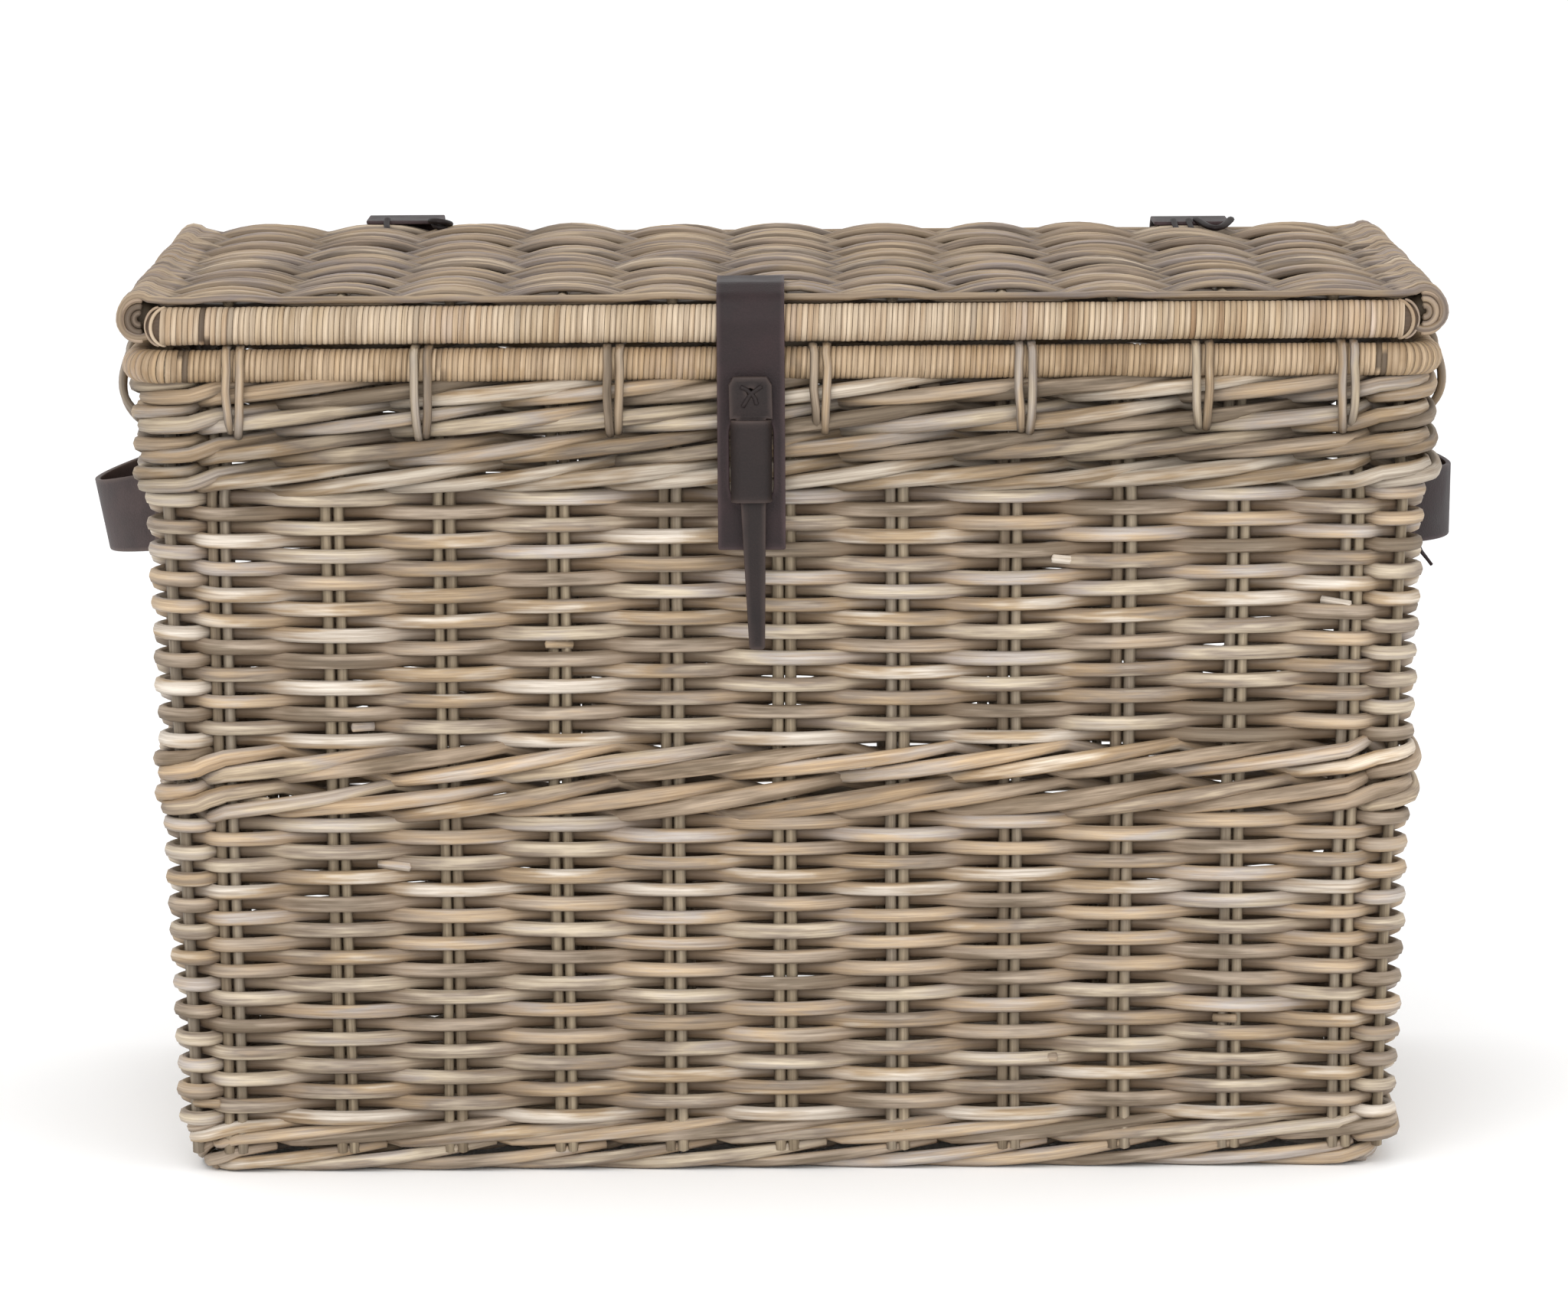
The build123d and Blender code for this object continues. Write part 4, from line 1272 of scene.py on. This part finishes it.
def add_knot(rods, middle, size, out):
    """A small overhand knot: a fat short coil of lace."""
    turn = np.linspace(0, 2 * np.pi, 15)[:, None]
    first = unit(np.cross(out, [0.3, 0.5, 0.8]))
    second = np.cross(out, first)
    path = middle + (np.cos(turn) * first + np.sin(turn) * second) * size * 0.5
    path = path + out * 0.3 * size * np.sin(turn * 1.5)
    rods.add(path, out, size * 0.42, size * 0.42)


# ---------------------------------------------------------------- materials

def srgb(*values):
    return tuple(((v / 255 + 0.055) / 1.055) ** 2.4 if v > 10 else v / 255 / 12.92 for v in values)


class Look:
    """A material's nodes, each made with its inputs linked to other nodes or set."""

    def __init__(self, name):
        self.material = bpy.data.materials.new(name)
        self.material.use_nodes = True
        self.tree = self.material.node_tree
        self.shader = self.tree.nodes["Principled BSDF"]

    def feed(self, made, inputs):
        for key, value in inputs.items():
            socket = made.inputs[key]
            if isinstance(value, bpy.types.NodeSocket):
                self.tree.links.new(value, socket)
            elif isinstance(value, tuple) and socket.type == "RGBA":
                socket.default_value = (*value, 1)
            else:
                socket.default_value = value

    def node(self, kind, inputs, **settings):
        made = self.tree.nodes.new(kind)
        for key, value in settings.items():
            setattr(made, key, value)
        self.feed(made, inputs)
        return made

    def attribute(self, name, output="Fac"):
        return self.node("ShaderNodeAttribute", {}, attribute_name=name).outputs[output]

    def noise(self, vector, scale, detail=4.0, roughness=0.55):
        inputs = {"Vector": vector, "Scale": scale, "Detail": detail, "Roughness": roughness}
        return self.node("ShaderNodeTexNoise", inputs).outputs["Fac"]

    def fibres(self, grain, along, across, detail, roughness=0.55):
        """Noise drawn out along the rods."""
        inputs = {0: grain, 1: (along, across, across)}
        stretched = self.node("ShaderNodeVectorMath", inputs, operation="MULTIPLY").outputs[0]
        return self.noise(stretched, 1.0, detail, roughness)

    def math(self, operation, a, b, clamp=False):
        return self.node("ShaderNodeMath", {0: a, 1: b}, operation=operation, use_clamp=clamp).outputs[0]

    def ramp(self, factor, stops):
        made = self.node("ShaderNodeValToRGB", {"Fac": factor})
        elements = made.color_ramp.elements
        while len(elements) < len(stops):
            elements.new(0.5)
        for element, (place, colour) in zip(elements, stops):
            element.position = place
            element.color = (*colour, 1)
        return made.outputs["Color"]

    def mix(self, mode, factor, a, b):
        inputs = {0: factor, 6: a, 7: b}
        return self.node("ShaderNodeMix", inputs, data_type="RGBA", blend_type=mode).outputs[2]

    def finish(self, colour, roughness, specular, relief, strength, depth):
        bump = self.node("ShaderNodeBump", {"Strength": strength, "Distance": depth, "Height": relief})
        self.feed(self.shader, {"Base Color": colour, "Roughness": roughness,
                                "Specular IOR Level": specular, "Normal": bump.outputs["Normal"]})
        return self.material


def rattan(name, tones, shade_and_seam_colour, fibre_bump=0.35, gloss=0.6):
    """Weathered rattan: each rod has its own tone, long fibres and blotches; the shade attribute mixes in
    painted shade for hollows and rod sides, in a dark colour that the odd dark seam also takes.
    """
    look = Look(name)
    grain = look.attribute("grain", "Vector")
    blotch = look.fibres(grain, 14, 110, 3)
    fibre = look.fibres(grain, 45, 1500, 5, 0.65)
    streak = look.fibres(grain, 9, 420, 3)
    blotched = look.math("MULTIPLY", look.math("SUBTRACT", blotch, 0.5), 0.9)
    shifted = look.math("ADD", look.attribute("tint"), blotched)
    tone = look.ramp(shifted, [(i / (len(tones) - 1), srgb(*t)) for i, t in enumerate(tones)])
    streaks = look.ramp(streak, [(0.32, (0.58, 0.54, 0.5)), (0.6, (1.14, 1.14, 1.14))])
    tone = look.mix("MULTIPLY", 0.8, tone, streaks)
    fibres = look.ramp(fibre, [(0.3, (0.62, 0.58, 0.54)), (0.6, (1.1, 1.1, 1.1))])
    tone = look.mix("MULTIPLY", 0.6, tone, fibres)
    # painted shade: the tone is mixed towards the shade colour by how far the shade attribute is below 1;
    # the dark seams use the same mix
    hollow = look.math("SUBTRACT", 1.0, look.attribute("shade"), clamp=True)
    tone = look.mix("MIX", look.math("MULTIPLY", hollow, 0.85), tone, srgb(*shade_and_seam_colour))
    rough = look.math("ADD", look.math("MULTIPLY", fibre, 0.25), gloss - 0.1)
    relief = look.math("ADD", fibre, look.math("MULTIPLY", streak, 1.2))
    return look.finish(tone, rough, 0.35, relief, fibre_bump, 0.35 * MM)


def leather(name, tone, worn):
    """Worn leather: fine grain, soft creases, paler rubbed edges."""
    look = Look(name)
    where = look.node("ShaderNodeTexCoord", {}).outputs["Object"]
    cloud = look.noise(where, 45.0)
    speck = look.noise(where, 900.0, 3)
    cells = look.node("ShaderNodeTexVoronoi", {"Scale": 750.0, "Vector": where}).outputs["Distance"]
    dark, light = (tuple(v * level for v in srgb(*tone)) for level in (0.72, 1.25))
    base = look.ramp(cloud, [(0.3, dark), (0.7, light)])
    specks = look.ramp(speck, [(0.35, (0.7, 0.7, 0.7)), (0.65, (1.15, 1.15, 1.15))])
    base = look.mix("MULTIPLY", 0.5, base, specks)
    rub = look.math("MULTIPLY", look.attribute("edge"), look.math("ADD", cloud, 0.1), clamp=True)
    base = look.mix("MIX", rub, base, srgb(*worn))
    rough = look.math("ADD", look.math("MULTIPLY", cloud, 0.3), 0.42)
    crease = look.noise(where, 130.0, 4, 0.7)
    relief = look.math("ADD", cells, look.math("MULTIPLY", crease, 2.0))
    return look.finish(base, rough, 0.22, relief, 0.35, 0.3 * MM)


def scaled(tones, r, g, b):
    return [(r * tone[0], g * tone[1], b * tone[2]) for tone in tones]


WICKER_TONES = [(114, 101, 85), (162, 148, 132), (179, 158, 131), (170, 162, 156),
                (190, 177, 156), (134, 122, 110), (163, 142, 114), (203, 194, 182)]
LID_TONES = [(108, 94, 80), (156, 137, 118), (174, 153, 126), (148, 136, 130),
             (182, 162, 136), (126, 113, 102), (196, 178, 155)]
STAKE_TONES = [(118, 104, 86), (148, 134, 112), (160, 146, 124), (138, 127, 112)]
BAR_TONES = [(144, 117, 88), (168, 148, 121), (183, 166, 144), (164, 141, 114), (177, 160, 144)]
RIM_TONES = [(136, 113, 85), (158, 136, 108), (172, 151, 125), (157, 133, 103), (167, 147, 127)]
# The last colour given to each rattan material is its painted shade colour for hollows and rods' sides,
# which also colours the dark seams of the wound strips.
WICKER = rattan("wicker", WICKER_TONES, (104, 84, 64))
# A darker copy of the wicker tones, with a darker shade colour, for the upper wale and lashings: partly
# the upper wale's own darker tone, partly painted shadow from the rim and lid above.
WALE_WICKER = rattan("wale_wicker", scaled(WICKER_TONES, 0.9, 0.885, 0.86), (58, 47, 37))
MIDDLE_WALE_WICKER = rattan("middle_wale_wicker", scaled(WICKER_TONES, 1.03, 1.01, 0.98), (90, 73, 56))
LID_WICKER = rattan("lid_wicker", LID_TONES, (56, 46, 38))
STAKE_ROD = rattan("stake_rod", STAKE_TONES, (70, 56, 42))
BAR_WRAP = rattan("bar_wrap", BAR_TONES, (52, 40, 32), fibre_bump=0.25, gloss=0.55)
RIM_WRAP = rattan("rim_wrap", RIM_TONES, (46, 36, 29), fibre_bump=0.25, gloss=0.55)
DARK_LEATHER = leather("dark_leather", (38, 27, 28), (74, 59, 60))
HANDLE_LEATHER = leather("handle_leather", (64, 53, 52), (100, 86, 80))
BROWN_LEATHER = leather("brown_leather", (32, 24, 23), (72, 60, 56))


# ---------------------------------------------------------------- assembly

def nodes_round(name):
    return [f"{name}_{side}" for side in SIDES]


def make_basket():
    rng = np.random.default_rng(SEEDS["basket"])
    for name in ("lower_weave", "upper_weave"):
        place_piece(plain_weave(name, rng, WICKER), "basket", nodes_round(name))
    for name, material in (("middle_wale", MIDDLE_WALE_WICKER), ("upper_wale", WALE_WICKER)):
        place_piece(wale(name, rng, material, **WALES[name]), "basket", nodes_round(name))
    place_piece(foot_border(rng, WICKER), "basket", nodes_round("foot_border"))
    stakes = upright_stakes(rng, STAKE_ROD)
    place_piece(stakes, "basket", nodes_round("stakes") + ["stakes_corner"])
    place_piece(base_mat(rng, WICKER), "basket", ["base_mat", "base_sticks"])


def make_rim():
    rng = np.random.default_rng(SEEDS["rim"])
    wrap, pole = wound_rim(rng, RIM_WRAP, STAKE_ROD)
    place_piece(wrap, "basket", ["rim_wraps"])
    place_piece(pole, "basket", nodes_round("rim_pole"))
    for side in SIDES:
        lashings = rim_lashings(side, lashing_places(side), rng, WALE_WICKER)
        place_piece(lashings, "basket", [f"rim_lashings_{side}"])


def make_bar(side, facing, rng):
    """The wound bar along the lid's front or back edge."""
    low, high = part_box(f"lid_bar_{side}")
    start, end = (box_middle(f"lid_bar_{side}") - UP * BAR_DROP for _ in range(2))
    start[0], end[0] = low[0], high[0]
    radius = BAR_SLIMMER * (high[2] - low[2]) / 2
    wrap, bar = wound_pole(f"lid_{side}", start, end, radius, rng, BAR_WRAP, facing)
    place_piece(wrap, "lid", ["lid_wraps"])
    place_piece(bar, "lid", [f"lid_bar_{side}"])


def make_lid():
    rng = np.random.default_rng(SEEDS["lid"])
    make_bar("front", -1, rng)
    make_bar("back", 1, rng)
    for name in ("lid_roll_left", "lid_roll_right"):
        place_piece(side_pole(name, STAKE_ROD), "lid", [name])
    place_piece(lid_canes(rng, LID_WICKER), "lid", ["lid_weave"])
    place_extra(corner_coils(rng, LID_WICKER), "lid")
    place_piece(lid_ribs(rng, STAKE_ROD), "lid", ["lid_ribs"])


def make_leather():
    clasp_strap(DARK_LEATHER)
    keeper_loop(BROWN_LEATHER)
    peg(BROWN_LEATHER)
    side_handle("left", HANDLE_LEATHER)
    hinge("left", DARK_LEATHER, BROWN_LEATHER)
    # The right handle is made from the darker strap leather: painted shade on that side of the trunk.
    side_handle("right", DARK_LEATHER)
    handle_lace("right", DARK_LEATHER)
    hinge("right", DARK_LEATHER, BROWN_LEATHER)


def make_stage():
    """A plain pale floor, soft light all round and two large lights in front."""
    mesh = bpy.data.meshes.new("floor")
    corners = [(x * FLOOR_HALF, y * FLOOR_HALF, 0) for x, y in ((-1, -1), (1, -1), (1, 1), (-1, 1))]
    mesh.from_pydata(corners, [], [(0, 1, 2, 3)])
    look = Look("floor")
    look.feed(look.shader, {"Base Color": (0.97, 0.97, 0.97), "Roughness": 0.9})
    add_object("floor", mesh, look.material)
    world = bpy.data.worlds.new("studio")
    bpy.context.scene.world = world
    world.use_nodes = True
    background = world.node_tree.nodes["Background"]
    background.inputs["Color"].default_value = (1, 1, 1, 1)
    background.inputs["Strength"].default_value = WORLD_LIGHT
    add_light("key", **KEY_LIGHT)
    add_light("fill", **FILL_LIGHT)


def add_light(name, place, size, power):
    """A large square light at a place, turned to the middle of the trunk."""
    light = bpy.data.lights.new(name, "AREA")
    light.size = size
    light.energy = power
    lamp = bpy.data.objects.new(name, light)
    lamp.location = place
    middle = Vector((0, 0, CAD_BOX[1][2] / 2))
    lamp.rotation_euler = (middle - Vector(place)).to_track_quat("-Z", "Y").to_euler()
    bpy.context.collection.objects.link(lamp)


def make_camera():
    """A long lens, a little above the lid, almost square on to the front."""
    camera = bpy.data.cameras.new("camera")
    camera.sensor_width = 36.0
    camera.lens = CAMERA_LENS
    camera.clip_end = 100.0
    eye = bpy.data.objects.new("camera", camera)
    eye.location = CAMERA_PLACE
    eye.rotation_euler = (math.radians(90 - CAMERA_DOWN), 0.0, 0.0)
    bpy.context.collection.objects.link(eye)
    eye.rotation_euler.rotate_axis("Z", math.radians(CAMERA_ROLL))
    bpy.context.scene.camera = eye
    bpy.context.scene.view_settings.view_transform = "Standard"


make_camera()
make_stage()
make_basket()
make_rim()
make_lid()
make_leather()
